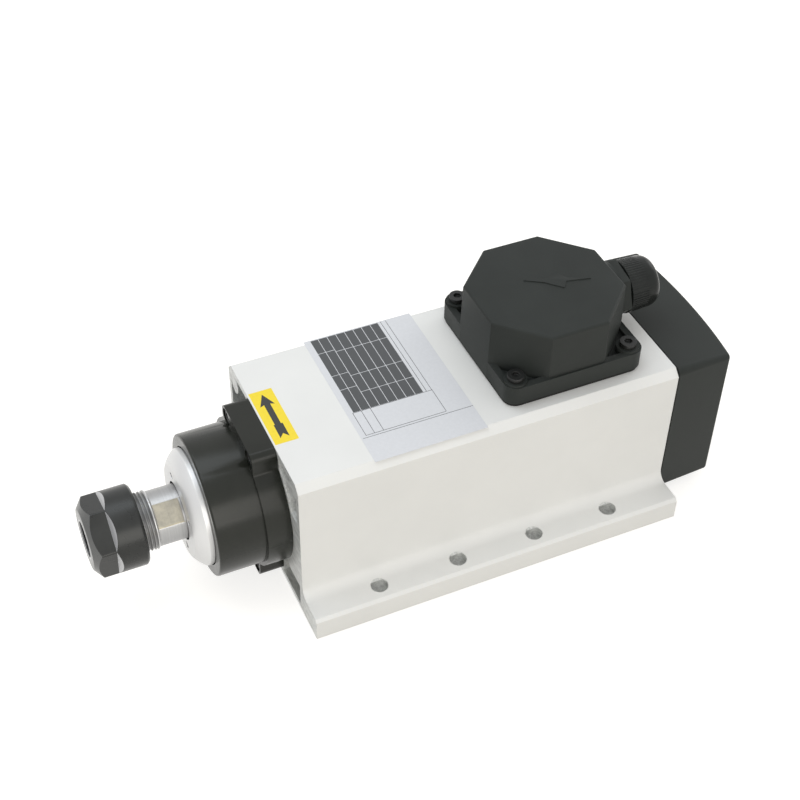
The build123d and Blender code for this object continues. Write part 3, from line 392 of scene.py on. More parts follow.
class Nodes:
    """The node tree of a material or the world, with short calls for what the finishes share."""

    def __init__(self, name, shader="BsdfPrincipled", owners="materials", output="OutputMaterial"):
        self.material = getattr(bpy.data, owners).new(name)
        self.material.use_nodes = True
        self.tree = self.material.node_tree
        self.tree.nodes.clear()
        self.shader = self.node("ShaderNode" + shader)
        self.link(self.shader.outputs[0], self.node("ShaderNode" + output).inputs["Surface"])
        self.place = self.node("ShaderNodeTexCoord").outputs["Object"]
        self.bump_normal = None

    def node(self, kind, inputs=(), **values):
        """A new node with its values set and its inputs, by name or number, fed."""
        made = self.tree.nodes.new(kind)
        for key, value in values.items():
            setattr(made, key, value)
        for key, value in dict(inputs).items():
            self.feed(made.inputs[key], value)
        return made

    def link(self, output, socket):
        self.tree.links.new(output, socket)

    def feed(self, socket, value):
        """Links an output to the socket, or sets a plain value on it."""
        if isinstance(value, bpy.types.NodeSocket):
            self.link(value, socket)
        else:
            socket.default_value = value

    def math(self, operation, *values):
        return self.node("ShaderNodeMath", enumerate(values), operation=operation).outputs[0]

    def seen(self):
        """One where the camera, a reflection or a clear surface sees it, and nothing elsewhere."""
        ray = self.node("ShaderNodeLightPath")
        return self.most(*(ray.outputs[f"Is {kind} Ray"] for kind in ("Camera", "Glossy", "Transmission")))

    def less(self, a, b):
        """One where the first is less than the second, and nothing elsewhere."""
        return self.math("LESS_THAN", a, b)

    def more(self, a, b):
        """One where the first is more than the second, and nothing elsewhere."""
        return self.math("GREATER_THAN", a, b)

    def times(self, value, *others):
        """The product of all the values."""
        for other in others:
            value = self.math("MULTIPLY", value, other)
        return value

    def most(self, value, *others):
        """The greatest of all the values."""
        for other in others:
            value = self.math("MAXIMUM", value, other)
        return value

    def distance(self, a, b):
        """The length of the line that goes a one way and b across it."""
        return self.math("SQRT", self.math("ADD", self.times(a, a), self.times(b, b)))

    def axes(self):
        """The three coordinates of a place, in metres."""
        return self.node("ShaderNodeSeparateXYZ", {0: self.place}).outputs

    def round_axis(self):
        """Across, along and above the spindle's axis, and the distance from it."""
        x, y, z = self.axes()
        up = self.math("SUBTRACT", z, AXIS_HEIGHT)
        return x, y, up, self.distance(x, up)

    def stretched(self, across, along, up=None):
        """The place scaled across, along and above the spindle, above as across unless given."""
        scale = across, along, across if up is None else up
        return self.node("ShaderNodeMapping", {"Scale": scale, "Vector": self.place}).outputs[0]

    def noise(self, scale, detail=3.0, roughness=0.55, vector=None):
        inputs = {"Scale": scale, "Detail": detail, "Roughness": roughness, "Vector": vector or self.place}
        return self.node("ShaderNodeTexNoise", inputs).outputs["Fac"]

    def ramp(self, value, low, high, at_low, at_high):
        """Carries a value from one range to another, held at both ends."""
        inputs = {"Value": value, "From Min": low, "From Max": high, "To Min": at_low, "To Max": at_high}
        return self.node("ShaderNodeMapRange", inputs).outputs[0]

    def blend(self, factor, a, b):
        """A colour between two colours."""
        a, b = (tone if isinstance(tone, bpy.types.NodeSocket) else (*tone, 1.0) for tone in (a, b))
        return self.node("ShaderNodeMix", {"Factor": factor, 6: a, 7: b}, data_type="RGBA").outputs[2]

    def cloudy(self, noise, a, b, low=0.3, high=0.7):
        """A colour that goes from one to the other as a noise goes from low to high."""
        return self.blend(self.ramp(noise, low, high, 0, 1), a, b)

    def uneven(self, noise, least, most):
        """A value that wanders between two limits with a noise."""
        return self.ramp(noise, 0.3, 0.7, least, most)

    def bump(self, height, distance, strength=1.0):
        """Adds a bump of the given depth to what the surface has so far."""
        inputs = {"Height": height, "Distance": distance, "Strength": strength}
        if self.bump_normal is not None:
            inputs["Normal"] = self.bump_normal
        self.bump_normal = self.node("ShaderNodeBump", inputs).outputs[0]
        self.link(self.bump_normal, self.shader.inputs["Normal"])

    def set(self, **values):
        """Sets plain values on the shader, or links outputs to it."""
        for key, value in values.items():
            socket = self.shader.inputs[key.replace("_", " ")]
            if isinstance(value, tuple) and len(value) == 3:
                value = (*value, 1.0)
            self.feed(socket, value)


def lighter(tone, factor):
    """A colour with each channel multiplied, kept within white."""
    return tuple(min(1.0, channel * factor) for channel in tone)


def anodised_extrusion(finish):
    """Fine blasted grain on the outside, sawn alloy on the ends and bare alloy inside."""
    n = Nodes("anodised_extrusion")
    x, y, z = n.axes()
    across = n.math("ABSOLUTE", x)
    inside = n.times(n.less(across, WALL_INSIDE), n.less(z, ROOF_INSIDE), n.more(z, 0.5 * MM))
    ends = n.more(n.math("ABSOLUTE", y), BODY_HIGH.y - 0.04 * MM)
    half_pitch = BASE_HOLE_PITCH / 2
    row = n.math("WRAP", n.math("SUBTRACT", y, half_pitch), half_pitch, -half_pitch)
    hole = n.less(n.distance(row, n.math("SUBTRACT", across, BASE_HOLE_PLACE)), BASE_HOLE_REACH)
    bare = n.most(inside, ends, hole)
    tone = n.cloudy(n.noise(38.0, 5.0), finish.body_colour, lighter(finish.body_colour, 0.965))
    sawn = n.noise(900.0, 4.0, 0.7, n.stretched(0.25, 1.0, 1.0))
    raw = n.cloudy(sawn, lighter(finish.bare_colour, 0.72), lighter(finish.bare_colour, 1.2), 0.35)
    n.set(Base_Color=n.blend(bare, tone, raw), Metallic=n.ramp(bare, 0, 1, 0.0, 0.3))
    n.set(Roughness=n.ramp(bare, 0, 1, 0.46, 0.42), Specular_IOR_Level=0.45)
    n.bump(n.noise(5200.0, 2.0), 0.012 * MM, 0.6)
    n.bump(n.times(sawn, bare), 0.10 * MM)
    return n.material


def black_anodised(finish):
    """Black anodised turned alloy: faint turning marks round the axis and a satin gloss."""
    n = Nodes("black_anodised")
    mottled = n.noise(60.0, 4.0)
    n.set(Base_Color=n.cloudy(mottled, finish.housing_colour, lighter(finish.housing_colour, 1.3)))
    n.set(Metallic=0.0, Roughness=n.uneven(mottled, 0.20, 0.26), Specular_IOR_Level=0.28)
    n.bump(n.noise(1.0, 2.0, 0.5, n.stretched(40.0, 2600.0)), 0.006 * MM)
    n.bump(n.noise(2400.0, 2.0), 0.010 * MM)
    return n.material


def clouded(name, cloud, tones, roughness, grain, depth, **values):
    """A finish whose colour and gloss wander with one noise, over the bump of a finer one."""
    n = Nodes(name)
    mottled = n.noise(*cloud)
    n.set(Base_Color=n.cloudy(mottled, *tones), Roughness=n.uneven(mottled, *roughness), **values)
    n.bump(n.noise(*grain), depth)
    return n.material


def moulded_plastic(finish):
    """Black moulded plastic with a fine eroded grain."""
    tones = finish.plastic_colour, lighter(finish.plastic_colour, 1.22)
    cloud, grain = (45.0, 4.0), (2600.0, 3.0, 0.6)
    return clouded("moulded_plastic", cloud, tones, (0.42, 0.50), grain, 0.03 * MM, Specular_IOR_Level=0.13)


def glossy_plastic(finish):
    """Black moulded nylon with a soft gloss."""
    tones = lighter(finish.plastic_colour, 0.5), lighter(finish.plastic_colour, 0.7)
    cloud, grain = (180.0, 4.0), (1800.0, 2.0)
    return clouded("glossy_plastic", cloud, tones, (0.20, 0.28), grain, 0.01 * MM, Specular_IOR_Level=0.2)


def black_oxide(finish):
    """Blackened steel with turning marks and a slight oily gloss."""
    n = Nodes("black_oxide")
    mottled = n.noise(90.0, 5.0)
    dark = lighter(finish.oxide_colour, 0.5)
    n.set(Base_Color=n.cloudy(mottled, dark, lighter(dark, 1.5)))
    n.set(Metallic=0.0, Roughness=n.uneven(mottled, 0.24, 0.36), Specular_IOR_Level=0.35)
    n.bump(n.noise(1.0, 2.0, 0.5, n.stretched(60.0, 3200.0)), 0.006 * MM)
    return n.material


def blackened_nut(finish):
    """Blackened steel, with bare milled steel and a painted highlight on the shoulders, the front cone and
    the opening's rim.
    """
    n = Nodes("blackened_nut")
    nut = bpy.context.scene.spindle_nut
    _, y, _, radius = n.round_axis()
    outer = (NUT_HIGH.x - NUT_LOW.x) / 2
    hex_back = NUT_LOW.y + nut.hex_length
    shoulder = n.times(n.more(y, hex_back - 0.02 * MM), n.less(y, hex_back + nut.shoulder + 0.05 * MM))
    cut = n.times(n.less(radius, outer - 0.10 * MM), n.more(radius, nut.across_flats / 2 - 0.2 * MM))
    depth = n.math("SUBTRACT", y, NUT_LOW.y)
    cone = n.math("MULTIPLY_ADD", depth, nut.bevel / nut.bevel_length, outer - nut.bevel)
    cone = n.less(n.math("ABSOLUTE", n.math("SUBTRACT", radius, cone)), 0.06 * MM)
    rim_edge = nut.opening + 0.9 * MM
    cone = n.times(n.most(cone, n.less(depth, 0.03 * MM)), n.more(radius, rim_edge))
    rim = n.times(n.less(y, NUT_LOW.y + 0.6 * MM), n.less(radius, rim_edge))
    mottled = n.noise(90.0, 5.0)
    tone = n.cloudy(mottled, finish.oxide_colour, lighter(finish.oxide_colour, 1.5))
    # The front cone is coloured a lighter grey as a painted highlight.
    tone = n.blend(n.times(cone, 0.8), tone, (0.15, 0.152, 0.152))
    # The milled shoulders and the opening's rim get a pale grey and more metal: bare milled steel with a
    # painted highlight.
    bare_and_painted_highlight = n.most(n.times(shoulder, cut), rim)
    tone = n.blend(n.times(bare_and_painted_highlight, 0.9), tone, (0.50, 0.505, 0.52))
    n.set(Base_Color=tone, Metallic=n.ramp(n.most(bare_and_painted_highlight, cone), 0, 1, 0.2, 0.75))
    n.set(Roughness=n.uneven(mottled, 0.24, 0.34), Specular_IOR_Level=0.34)
    n.bump(n.noise(1.0, 2.0, 0.5, n.stretched(60.0, 3200.0)), 0.006 * MM)
    return n.material


def ground_steel(finish):
    """Ground steel: fine rings round the axis, painted shade in the thread's valleys, a painted highlight on
    the relief cone, browner milled flats.
    """
    n = Nodes("ground_steel")
    shaft = bpy.context.scene.spindle_shaft
    x, y, up, radius = n.round_axis()
    turned = n.math("ADD", n.times(x, cos(shaft.flat_angle)), n.times(up, sin(shaft.flat_angle)))
    off_middle = n.math("ABSOLUTE", turned)
    flat = shaft.flats / 2
    on_flat = n.ramp(off_middle, flat - 0.02 * MM, flat + 0.03 * MM, 1.0, 0.0)
    on_flat = n.times(on_flat, n.more(off_middle, flat - 0.06 * MM))
    thread_end = SHAFT_LOW.y + shaft.thread_length
    plain = n.ramp(y, thread_end - 0.3 * MM, thread_end, 0.0, 1.0)
    rings = n.noise(1.0, 3.0, 0.6, n.stretched(30.0, 4200.0))
    rings = n.math("ADD", n.times(n.math("SUBTRACT", rings, 0.5), plain), 0.5)
    # Painted shade: the thread's valleys are coloured darker by radius, while the crests, the plain shaft and
    # the taper keep the full tone.
    outside_painted_shade = n.ramp(radius, shaft.thread_radius - shaft.depth, shaft.thread_radius - 0.1 * MM, 0.0, 1.0)
    outside_painted_shade = n.most(outside_painted_shade, plain, n.less(radius, shaft.mouth + 0.5 * MM))
    tone = n.cloudy(rings, lighter(finish.steel_colour, 0.9), lighter(finish.steel_colour, 1.1))
    tone = n.blend(outside_painted_shade, lighter(finish.steel_colour, 0.7), tone)
    # Painted highlight: the relief cone between the thread and the neck is coloured much lighter than the
    # steel.
    relief = n.times(n.more(y, thread_end - 0.2 * MM), n.less(y, thread_end + shaft.relief))
    tone = n.blend(relief, tone, lighter(finish.steel_colour, 1.7))
    brown = (0.30, 0.27, 0.19)
    patina = n.cloudy(n.noise(260.0, 6.0, 0.7), brown, lighter(brown, 1.6), 0.38, 0.62)
    n.set(Base_Color=n.blend(on_flat, tone, patina), Metallic=n.ramp(on_flat, 0, 1, 0.95, 0.55))
    n.set(Roughness=n.ramp(on_flat, 0, 1, 0.38, 0.46))
    n.bump(rings, 0.008 * MM)
    return n.material


def turned_alloy(finish):
    """Bright turned alloy with concentric tool marks on faces and rims, and painted shade in the pin holes.
    """
    n = Nodes("turned_alloy")
    ring = bpy.context.scene.spindle_ring
    _, y, _, radius = n.round_axis()
    outwards = n.node("ShaderNodeCombineXYZ", {0: n.math("ADD", radius, n.times(y, 0.7))}).outputs[0]
    rings = n.noise(3400.0, 2.0, 0.6, outwards)
    tone = n.cloudy(rings, lighter(finish.turned_colour, 0.93), finish.turned_colour)
    # Painted shade: the part just behind the face and within 18 mm of the axis, which is the pin holes and
    # the mouth of the bore, is coloured at a quarter of the alloy's tone.
    hole = n.times(n.more(y, RING_LOW.y + 0.2 * MM), n.less(y, RING_LOW.y + 2 * ring.hole_depth))
    hole = n.times(hole, n.less(radius, 18 * MM))
    n.set(Base_Color=n.blend(hole, tone, lighter(finish.turned_colour, 0.25)))
    n.set(Metallic=0.75, Roughness=0.40)
    n.bump(rings, 0.008 * MM)
    return n.material


def rubber(finish):
    """Matt black rubber."""
    n = Nodes("rubber")
    fine = n.noise(1500.0, 3.0)
    n.set(Base_Color=n.cloudy(fine, finish.rubber_colour, lighter(finish.rubber_colour, 1.8)))
    n.set(Roughness=0.85, Specular_IOR_Level=0.3)
    n.bump(fine, 0.02 * MM)
    return n.material


def varnished_copper(finish):
    """Windings: wires side by side under varnish."""
    n = Nodes("varnished_copper")
    strands = n.noise(1.0, 2.0, 0.5, n.stretched(900.0, 900.0))
    n.set(Base_Color=n.cloudy(strands, lighter(finish.copper_colour, 0.6), finish.copper_colour, 0.35, 0.65))
    n.set(Metallic=0.5, Roughness=0.35, Coat_Weight=0.4)
    n.bump(strands, 0.15 * MM)
    return n.material


def sheet_stack(finish):
    """Sheets of electrical steel seen on edge."""
    n = Nodes("sheet_stack")
    edges = n.noise(1.0, 1.0, 0.5, n.stretched(8.0, 2000.0))
    dark, pale = lighter(finish.core_colour, 0.6), lighter(finish.core_colour, 1.3)
    n.set(Base_Color=n.cloudy(edges, dark, pale, 0.35, 0.65))
    n.set(Metallic=0.8, Roughness=0.45)
    n.bump(edges, 0.04 * MM)
    return n.material


def plain_metal(name, tone, roughness):
    """Metal with a faint cloudiness in its gloss."""
    cloud = 220.0, 4.0
    gloss = roughness, roughness + 0.1
    return clouded(name, cloud, (tone, lighter(tone, 0.85)), gloss, cloud, 0.01 * MM, Metallic=1.0)


def printed_sheet(name, tone, roughness):
    """Printed film with a slight orange-peel gloss."""
    peel = 700.0, 2.0
    gloss = roughness, roughness + 0.08
    return clouded(name, peel, (tone, lighter(tone, 0.96)), gloss, peel, 0.006 * MM, Specular_IOR_Level=0.5)


FINISHES = {
    "body_silver": anodised_extrusion,
    "housing_black": black_anodised,
    "black_plastic": moulded_plastic,
    "gland_plastic": glossy_plastic,
    "black_steel": black_oxide,
    "nut_steel": blackened_nut,
    "ground_steel": ground_steel,
    "turned_alloy": turned_alloy,
    "gasket_rubber": rubber,
    "winding_copper": varnished_copper,
    "core_steel": sheet_stack,
}
MADE = {}


def material(name):
    """A finish by name, made once."""
    finish, plate = bpy.context.scene.spindle_finish, bpy.context.scene.spindle_plate
    metals = {
        "bearing_steel": ((0.66, 0.66, 0.66), 0.12),
        "cast_alloy": ((0.55, 0.55, 0.55), 0.40),
        "cage_brass": (finish.brass_colour, 0.30),
        "terminal_brass": (finish.brass_colour, 0.25),
    }
    sheets = {
        "lead_red": ((0.42, 0.03, 0.02), 0.40),
        "terminal_white": ((0.70, 0.69, 0.64), 0.45),
        "plate_sheet": (plate.sheet_colour, 0.30),
        "plate_field": (plate.field_colour, 0.32),
        "sticker_ground": (plate.sticker_colour, 0.35),
        "sticker_arrow": (plate.arrow_colour, 0.35),
    }
    if name not in MADE:
        if name in FINISHES:
            MADE[name] = FINISHES[name](finish)
        elif name in metals:
            MADE[name] = plain_metal(name, *metals[name])
        else:
            MADE[name] = printed_sheet(name, *sheets[name])
    return MADE[name]


class SPINDLE_OT_stage(Operator):
    """Add the floor, the lamps, the world and the camera"""

    bl_idname = "spindle.stage"
    bl_label = "Stage"

    def execute(self, context):
        self.camera(context.scene)
        self.floor(context.scene.spindle_stage)
        self.world(context.scene)
        self.lamps(context.scene)
        return {"FINISHED"}

    def camera(self, scene):
        """Looks at the body's lower front edge from the azimuth and elevation, moved sideways and up."""
        view = scene.spindle_camera
        a, e, r = view.azimuth, view.elevation, view.roll
        back = Vector((sin(a) * cos(e), -cos(a) * cos(e), sin(e)))
        right = Vector((0, 0, 1)).cross(back).normalized()
        up = back.cross(right)
        rolled_right = cos(r) * right + sin(r) * up
        rolled_up = cos(r) * up - sin(r) * right
        origin = Vector((0, BODY_FRONT, 0))
        eye = origin + view.aim_right * rolled_right + view.aim_up * rolled_up + view.distance * back
        lens = bpy.data.cameras.new("camera")
        lens.lens = view.lens
        lens.sensor_width = 36.0
        lens.clip_end = 50.0
        camera = bpy.data.objects.new("camera", lens)
        turn = Matrix((rolled_right, rolled_up, back)).transposed().to_4x4()
        camera.matrix_world = Matrix.Translation(eye) @ turn
        scene.collection.objects.link(camera)
        scene.camera = camera

    def floor(self, stage):
        """A flat sheet under the base that glows a little where it is seen."""
        half = stage.floor_size / 2
        line = np.linspace(-half, half, 3)
        x, y = np.meshgrid(line, line, indexing="ij")
        height = np.full_like(x, CAD_BOX[0][2] - 0.2 * MM)
        floor = grid_piece("floor", np.stack([x, y, height], axis=-1))
        n = Nodes("floor")
        n.set(Base_Color=tuple(stage.floor_colour), Roughness=0.9, Specular_IOR_Level=0.0)
        n.set(Emission_Color=(1.0, 1.0, 1.0), Emission_Strength=n.times(n.seen(), stage.floor_glow))
        floor.data.materials.append(n.material)

    def world(self, scene):
        """White where it is seen, and a plain grey light elsewhere."""
        n = Nodes("studio", "Background", "worlds", "OutputWorld")
        dim = scene.spindle_stage.world_strength
        n.set(Color=(1.0, 1.0, 1.0), Strength=n.ramp(n.seen(), 0.0, 1.0, dim, 1.0))
        scene.world = n.material
        scene.view_settings.view_transform = "Standard"

    def lamps(self, scene):
        """Three soft lamps: one above, one beside the camera and one behind."""
        stage = scene.spindle_stage
        middle = Vector((0, -20 * MM, AXIS_HEIGHT))
        for name, offset, size, power, tone in (
            ("key_lamp", (-250, -250, 900), 700, stage.key_power, stage.key_colour),
            ("side_lamp", (900, -150, 350), 600, stage.side_power, stage.side_colour),
            ("back_lamp", (-300, 900, 500), 500, stage.back_power, stage.back_colour),
        ):
            offset = Vector(offset) * MM
            lamp = bpy.data.lights.new(name, "AREA")
            lamp.size = size * MM
            lamp.energy = power
            lamp.color = tone
            holder = bpy.data.objects.new(name, lamp)
            holder.location = middle + offset
            holder.rotation_euler = (-offset).to_track_quat("-Z", "Y").to_euler()
            scene.collection.objects.link(holder)


class SPINDLE_OT_castings(Operator):
    """Dress the body, the housings and the covers"""

    bl_idname = "spindle.castings"
    bl_label = "Body and Covers"

    EASED = {
        "body_extrusion": 0.25,
        "front_bearing_housing": 0.45,
        "fan_cover": 0.5,
        "terminal_box_lid": 0.35,
        "terminal_box_gasket": 0.0,
        "gland_body": 0.25,
        "rear_bearing_housing": 0.3,
        "front_bearing_retainer": 0.2,
    }

    def execute(self, context):
        for node, width in self.EASED.items():
            eased_copy(node, material(slot_of(node)), width)
        return {"FINISHED"}


class SPINDLE_OT_nose(Operator):
    """Dress the shaft, the collet and its nut"""

    bl_idname = "spindle.nose"
    bl_label = "Nose"

    SEATS = (
        (106.5, 5.2), (105.7, 6.0), (105.5, 6.0), (105.5, 5.5), (104.5, 5.5), (104.5, 6.0), (91.5, 6.0),
        (91.5, 7.48), (78.0, 7.48), (78.0, 10.0), (42.0, 10.0), (38.0, 11.0), (-56.0, 11.0), (-56.0, 15.0),
        (-85.5, 15.0), (-85.5, 12.48), (-120.3, 12.48), (-120.3, 11.6),
    )

    def execute(self, context):
        self.shaft(context.scene.spindle_shaft)
        self.ring(context.scene.spindle_ring)
        self.nut(context.scene.spindle_nut, context.scene.spindle_shaft)
        eased_copy("collet", material("ground_steel"), 0.0)
        return {"FINISHED"}

    def shaft(self, shaft):
        """Outline from the tail round the nose to the bottom of the hole, in the CAD's places."""
        front, tail = SHAFT_LOW.y, SHAFT_HIGH.y
        thread_end = front + shaft.thread_length
        neck_front = thread_end + shaft.relief
        flat_end = neck_front + shaft.flat_length
        taper_end = front + shaft.taper_length
        throat = shaft.mouth - shaft.taper_length * tan(shaft.taper)
        coarse, fine = 4 * MM, shaft.pitch / 20
        seats = [(place * MM, radius * MM, coarse) for place, radius in self.SEATS]
        nose = [
            (flat_end + 0.4 * MM, shaft.neck, fine),
            (flat_end - 0.4 * MM, shaft.neck, 1.2 * MM),
            (neck_front + 0.3 * MM, shaft.neck, fine),
            (neck_front, shaft.neck, fine),
            (thread_end, shaft.thread_radius, fine),
            (front + 0.8 * MM, shaft.thread_radius, fine),
            (front, shaft.thread_radius - 0.8 * MM, fine),
            (front, shaft.mouth, coarse),
            (taper_end, throat, coarse),
            (taper_end, shaft.hole, coarse),
            (front + shaft.hole_depth, shaft.hole, coarse),
            (front + shaft.hole_depth + 3 * MM, 0.0, coarse),
        ]
        outline = outline_points([(tail, 0.0, coarse), *seats, *nose], 0.12 * MM)

        def reshape(place, turn, radius):
            """Cuts the thread and the flats into the outline.

            The thread's depth follows half a cosine wave of place over pitch plus turn. A flat
            lies at half the distance between the flats, so a point on it is that distance over
            the cosine of the angle from the flat's middle.
            """
            outside = radius > shaft.mouth + 0.5 * MM
            groove = thread_groove(place - thread_end, turn, shaft.pitch)
            fade = np.clip((thread_end - 0.3 * MM - place) / (0.7 * MM), 0.0, 1.0)
            fade = fade * np.clip((place - front) / (0.4 * MM), 0.0, 1.0)
            radius = radius - outside * fade * groove * shaft.depth
            on_flats = np.clip((place - neck_front) / (0.1 * MM), 0, 1)
            on_flats = on_flats * np.clip((flat_end - place) / (0.1 * MM), 0, 1)
            distance = shaft.flats / 2 + (1 - on_flats) * 10 * MM
            off_middle = np.abs(np.cos(turn - shaft.flat_angle))
            flat = distance / np.maximum(off_middle, 0.2)
            return np.where(outside, smooth_least(radius, flat, 0.06 * MM), radius)

        turned_piece("spindle_shaft", "ground_steel", outline, shaft.steps, reshape, sharp=42.0)

    def ring(self, ring):
        """Outline round the ring: bore, flat face, domed bevel, rim, step, back and hub.

        The bevel is an arc: points on the chord from the face to the rim, pushed outwards by the
        bulge times four times the product of the two shares of the chord.
        """
        front, back = RING_LOW.y, RING_HIGH.y
        rim = (RING_HIGH.x - RING_LOW.x) / 2
        rise = rim - ring.face_radius
        slope = (ring.bevel**2 + rise**2) ** 0.5
        share = np.linspace(0, 1, 13)
        push = 4 * share * (1 - share) * ring.bulge
        places = front + share * ring.bevel - push * rise / slope
        radii = ring.face_radius + share * rise + push * ring.bevel / slope
        coarse, fine = 2 * MM, 0.3 * MM
        rim_rear = front + ring.bevel + ring.rim
        shoulder = back - ring.hub_depth
        corners = [
            (back, ring.bore, coarse),
            (front, ring.bore, fine),
            (front, ring.face_radius - 0.6 * MM, 0.15 * MM),
            *[(place, radius, fine) for place, radius in zip(places, radii)],
            (rim_rear, rim, fine),
            (rim_rear, rim - ring.step, coarse),
            (shoulder, rim - ring.step, coarse),
            (shoulder, ring.hub, coarse),
            (back, ring.hub, coarse),
            (back, ring.bore, coarse),
        ]
        outline = outline_points(corners, 0.1 * MM)

        def sink(place, turn, radius):
            """Four pin holes in the face, each sunk where its middle is nearer than its radius.

            That distance follows from the two radii and the angle between them.
            """
            off = (turn - ring.first_hole) % (pi / 2)
            off = np.minimum(off, pi / 2 - off)
            away = np.sqrt(radius**2 + ring.hole_circle**2 - 2 * radius * ring.hole_circle * np.cos(off))
            on_face = place < front + 0.01 * MM
            return place + on_face * np.clip((ring.hole - away) / (0.2 * MM), 0, 1) * ring.hole_depth

        turned_piece("labyrinth_ring", "turned_alloy", outline, ring.steps, sink=sink, sharp=24.0)

    def nut(self, nut, shaft):
        """Outline round the nut's wall: rim, front cone, face, inner cone, lip, thread and back."""
        front, back = NUT_LOW.y, NUT_HIGH.y
        outer = (NUT_HIGH.x - NUT_LOW.x) / 2
        hex_back = front + nut.hex_length
        lip_front = front + nut.lip_place
        lip_back = lip_front + nut.lip_width
        cone_back = front + (nut.bore - nut.opening) / tan(nut.cone)
        thread = shaft.thread_radius + nut.thread_gap
        thread_end = SHAFT_LOW.y + shaft.thread_length
        coarse, fine, thin, thread_row = 1.2 * MM, 0.10 * MM, 0.25 * MM, 0.15 * MM
        corners = [
            (back, thread, coarse),
            (back, outer - nut.rear_edge, thin),
            (back - nut.rear_edge, outer, coarse),
            (hex_back + nut.shoulder + 0.3 * MM, outer, fine),
            (hex_back - 0.2 * MM, outer, 0.8 * MM),
            (front + nut.bevel_length + 0.4 * MM, outer, fine),
            (front + nut.bevel_length, outer, fine),
            (front, outer - nut.bevel, 0.8 * MM),
            (front, nut.opening, 0.8 * MM),
            (cone_back, nut.bore, coarse),
            (lip_front, nut.bore, coarse),
            (lip_front, nut.lip_bore, coarse, nut.lip_offset),
            (lip_back, nut.lip_bore, coarse, nut.lip_offset),
            (lip_back, thread, thread_row),
            (back, thread, coarse),
        ]
        outline = outline_points(corners, 0.18 * MM)

        def reshape(place, turn, radius):
            """Cuts the hexagon outside and the thread inside.

            A flat lies half the width across flats from the axis, and behind the hexagon that
            distance grows in a slope to the full radius. A point on it is the distance over the
            cosine of the angle from the flat's middle. The thread is the shaft's own wave.
            """
            behind = np.clip((place - hex_back) / nut.shoulder, 0.0, 1.5)
            distance = nut.across_flats / 2 + behind * (outer - nut.across_flats / 2)
            off_middle = (turn - nut.corner_angle) % (pi / 3) - pi / 6
            shaped = smooth_least(radius, distance / np.cos(off_middle), nut.blend)
            inside = (place > lip_back + 0.3 * MM) & (radius < thread + 0.05 * MM)
            groove = thread_groove(place - thread_end, turn, shaft.pitch)
            return np.where(inside, radius - groove * shaft.depth, shaped)

        turned_piece("collet_nut", "nut_steel", outline, nut.steps, reshape)


class SPINDLE_OT_works(Operator):
    """Dress the motor, the bearings, the fan and the fasteners"""

    bl_idname = "spindle.works"
    bl_label = "Works and Fasteners"

    EDGES = {
        "terminal_box_screws": 0.3,
        "front_housing_screws": 0.3,
        "fan_cover_screws": 0.3,
        "rear_housing_screws": 0.2,
    }

    def execute(self, context):
        self.gland_nut(context.scene.spindle_gland)
        done = {"spindle_shaft", "labyrinth_ring", "collet", "collet_nut", "gland_nut"}
        for node in sorted(set(frame["nodes"]) - done - set(SPINDLE_OT_castings.EASED)):
            eased_copy(node, material(slot_of(node)), self.EDGES.get(node, 0.0))
        return {"FINISHED"}

    def gland_nut(self, gland):
        """Outline round the nut's wall: skirt, ribbed side, domed end and mouth."""
        front, back = GLAND_LOW.y, GLAND_HIGH.y
        dome_front = back - gland.dome
        bend = np.radians(np.linspace(0, 75, 9))
        inner = gland.mouth + 1.0 * MM
        lip = gland.rear_radius - inner
        dome = [(dome_front + gland.dome * sin(a), inner + lip * cos(a), 0.5 * MM) for a in bend]
        corners = [
            (front, gland.skirt, 0.8 * MM),
            (front, gland.front_radius, 0.5 * MM),
            *dome,
            (back, gland.mouth + 0.7 * MM, 0.5 * MM),
            (back, gland.mouth, 0.8 * MM),
            (back - gland.mouth_depth, gland.mouth, 0.8 * MM),
            (front + gland.skirt_depth, gland.skirt, 0.8 * MM),
            (front, gland.skirt, 0.8 * MM),
        ]
        outline = outline_points(corners, 0.2 * MM)

        def reshape(place, turn, radius):
            """Grooves along the side: a raised cosine of the ribs' angle, faded out at both ends."""
            side = np.clip((radius - gland.rear_radius + 0.4 * MM) / (0.3 * MM), 0, 1)
            reach = np.clip((front + gland.rib_length - place) / (1.5 * MM), 0, 1)
            groove = (0.5 + 0.5 * np.cos(gland.ribs * turn)) ** 2
            return radius - gland.rib_depth * side * reach * groove

        turned_piece("gland_nut", "gland_plastic", outline, gland.steps, reshape, height=GLAND_HEIGHT)


def squares(rectangles):
    """The four corners of each (x0, x1, y0, y1) rectangle."""
    return np.array(rectangles, dtype=float)[:, [[0, 2], [1, 2], [1, 3], [0, 3]]]


def flat_pieces(outlines, low, high):
    """Points and faces of thin prisms over outlines in millimetres that have as many corners each.

    Each outline is repeated at both heights, and every side joins a corner to the next one.
    """
    outlines = np.array(outlines, dtype=float) * MM
    pieces, count = outlines.shape[:2]
    levels = [np.dstack([outlines, np.full((pieces, count), height)]) for height in (low, high)]
    ring = np.arange(count)
    after = (ring + 1) % count
    sides = np.column_stack([ring, after, after + count, ring + count])
    first = 2 * count * np.arange(pieces)[:, None]
    faces = [*(ring[::-1] + first).tolist(), *(ring + count + first).tolist()]
    faces += (sides + first[:, :, None]).reshape(-1, 4).tolist()
    return np.concatenate(levels, axis=1).reshape(-1, 3), faces


def printed_piece(name, points, faces, finish):
    """A thin printed shape that rides on the body."""
    piece = mesh_piece(name, points, faces)
    piece.data.materials.append(material(finish))
    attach(piece, "housing")


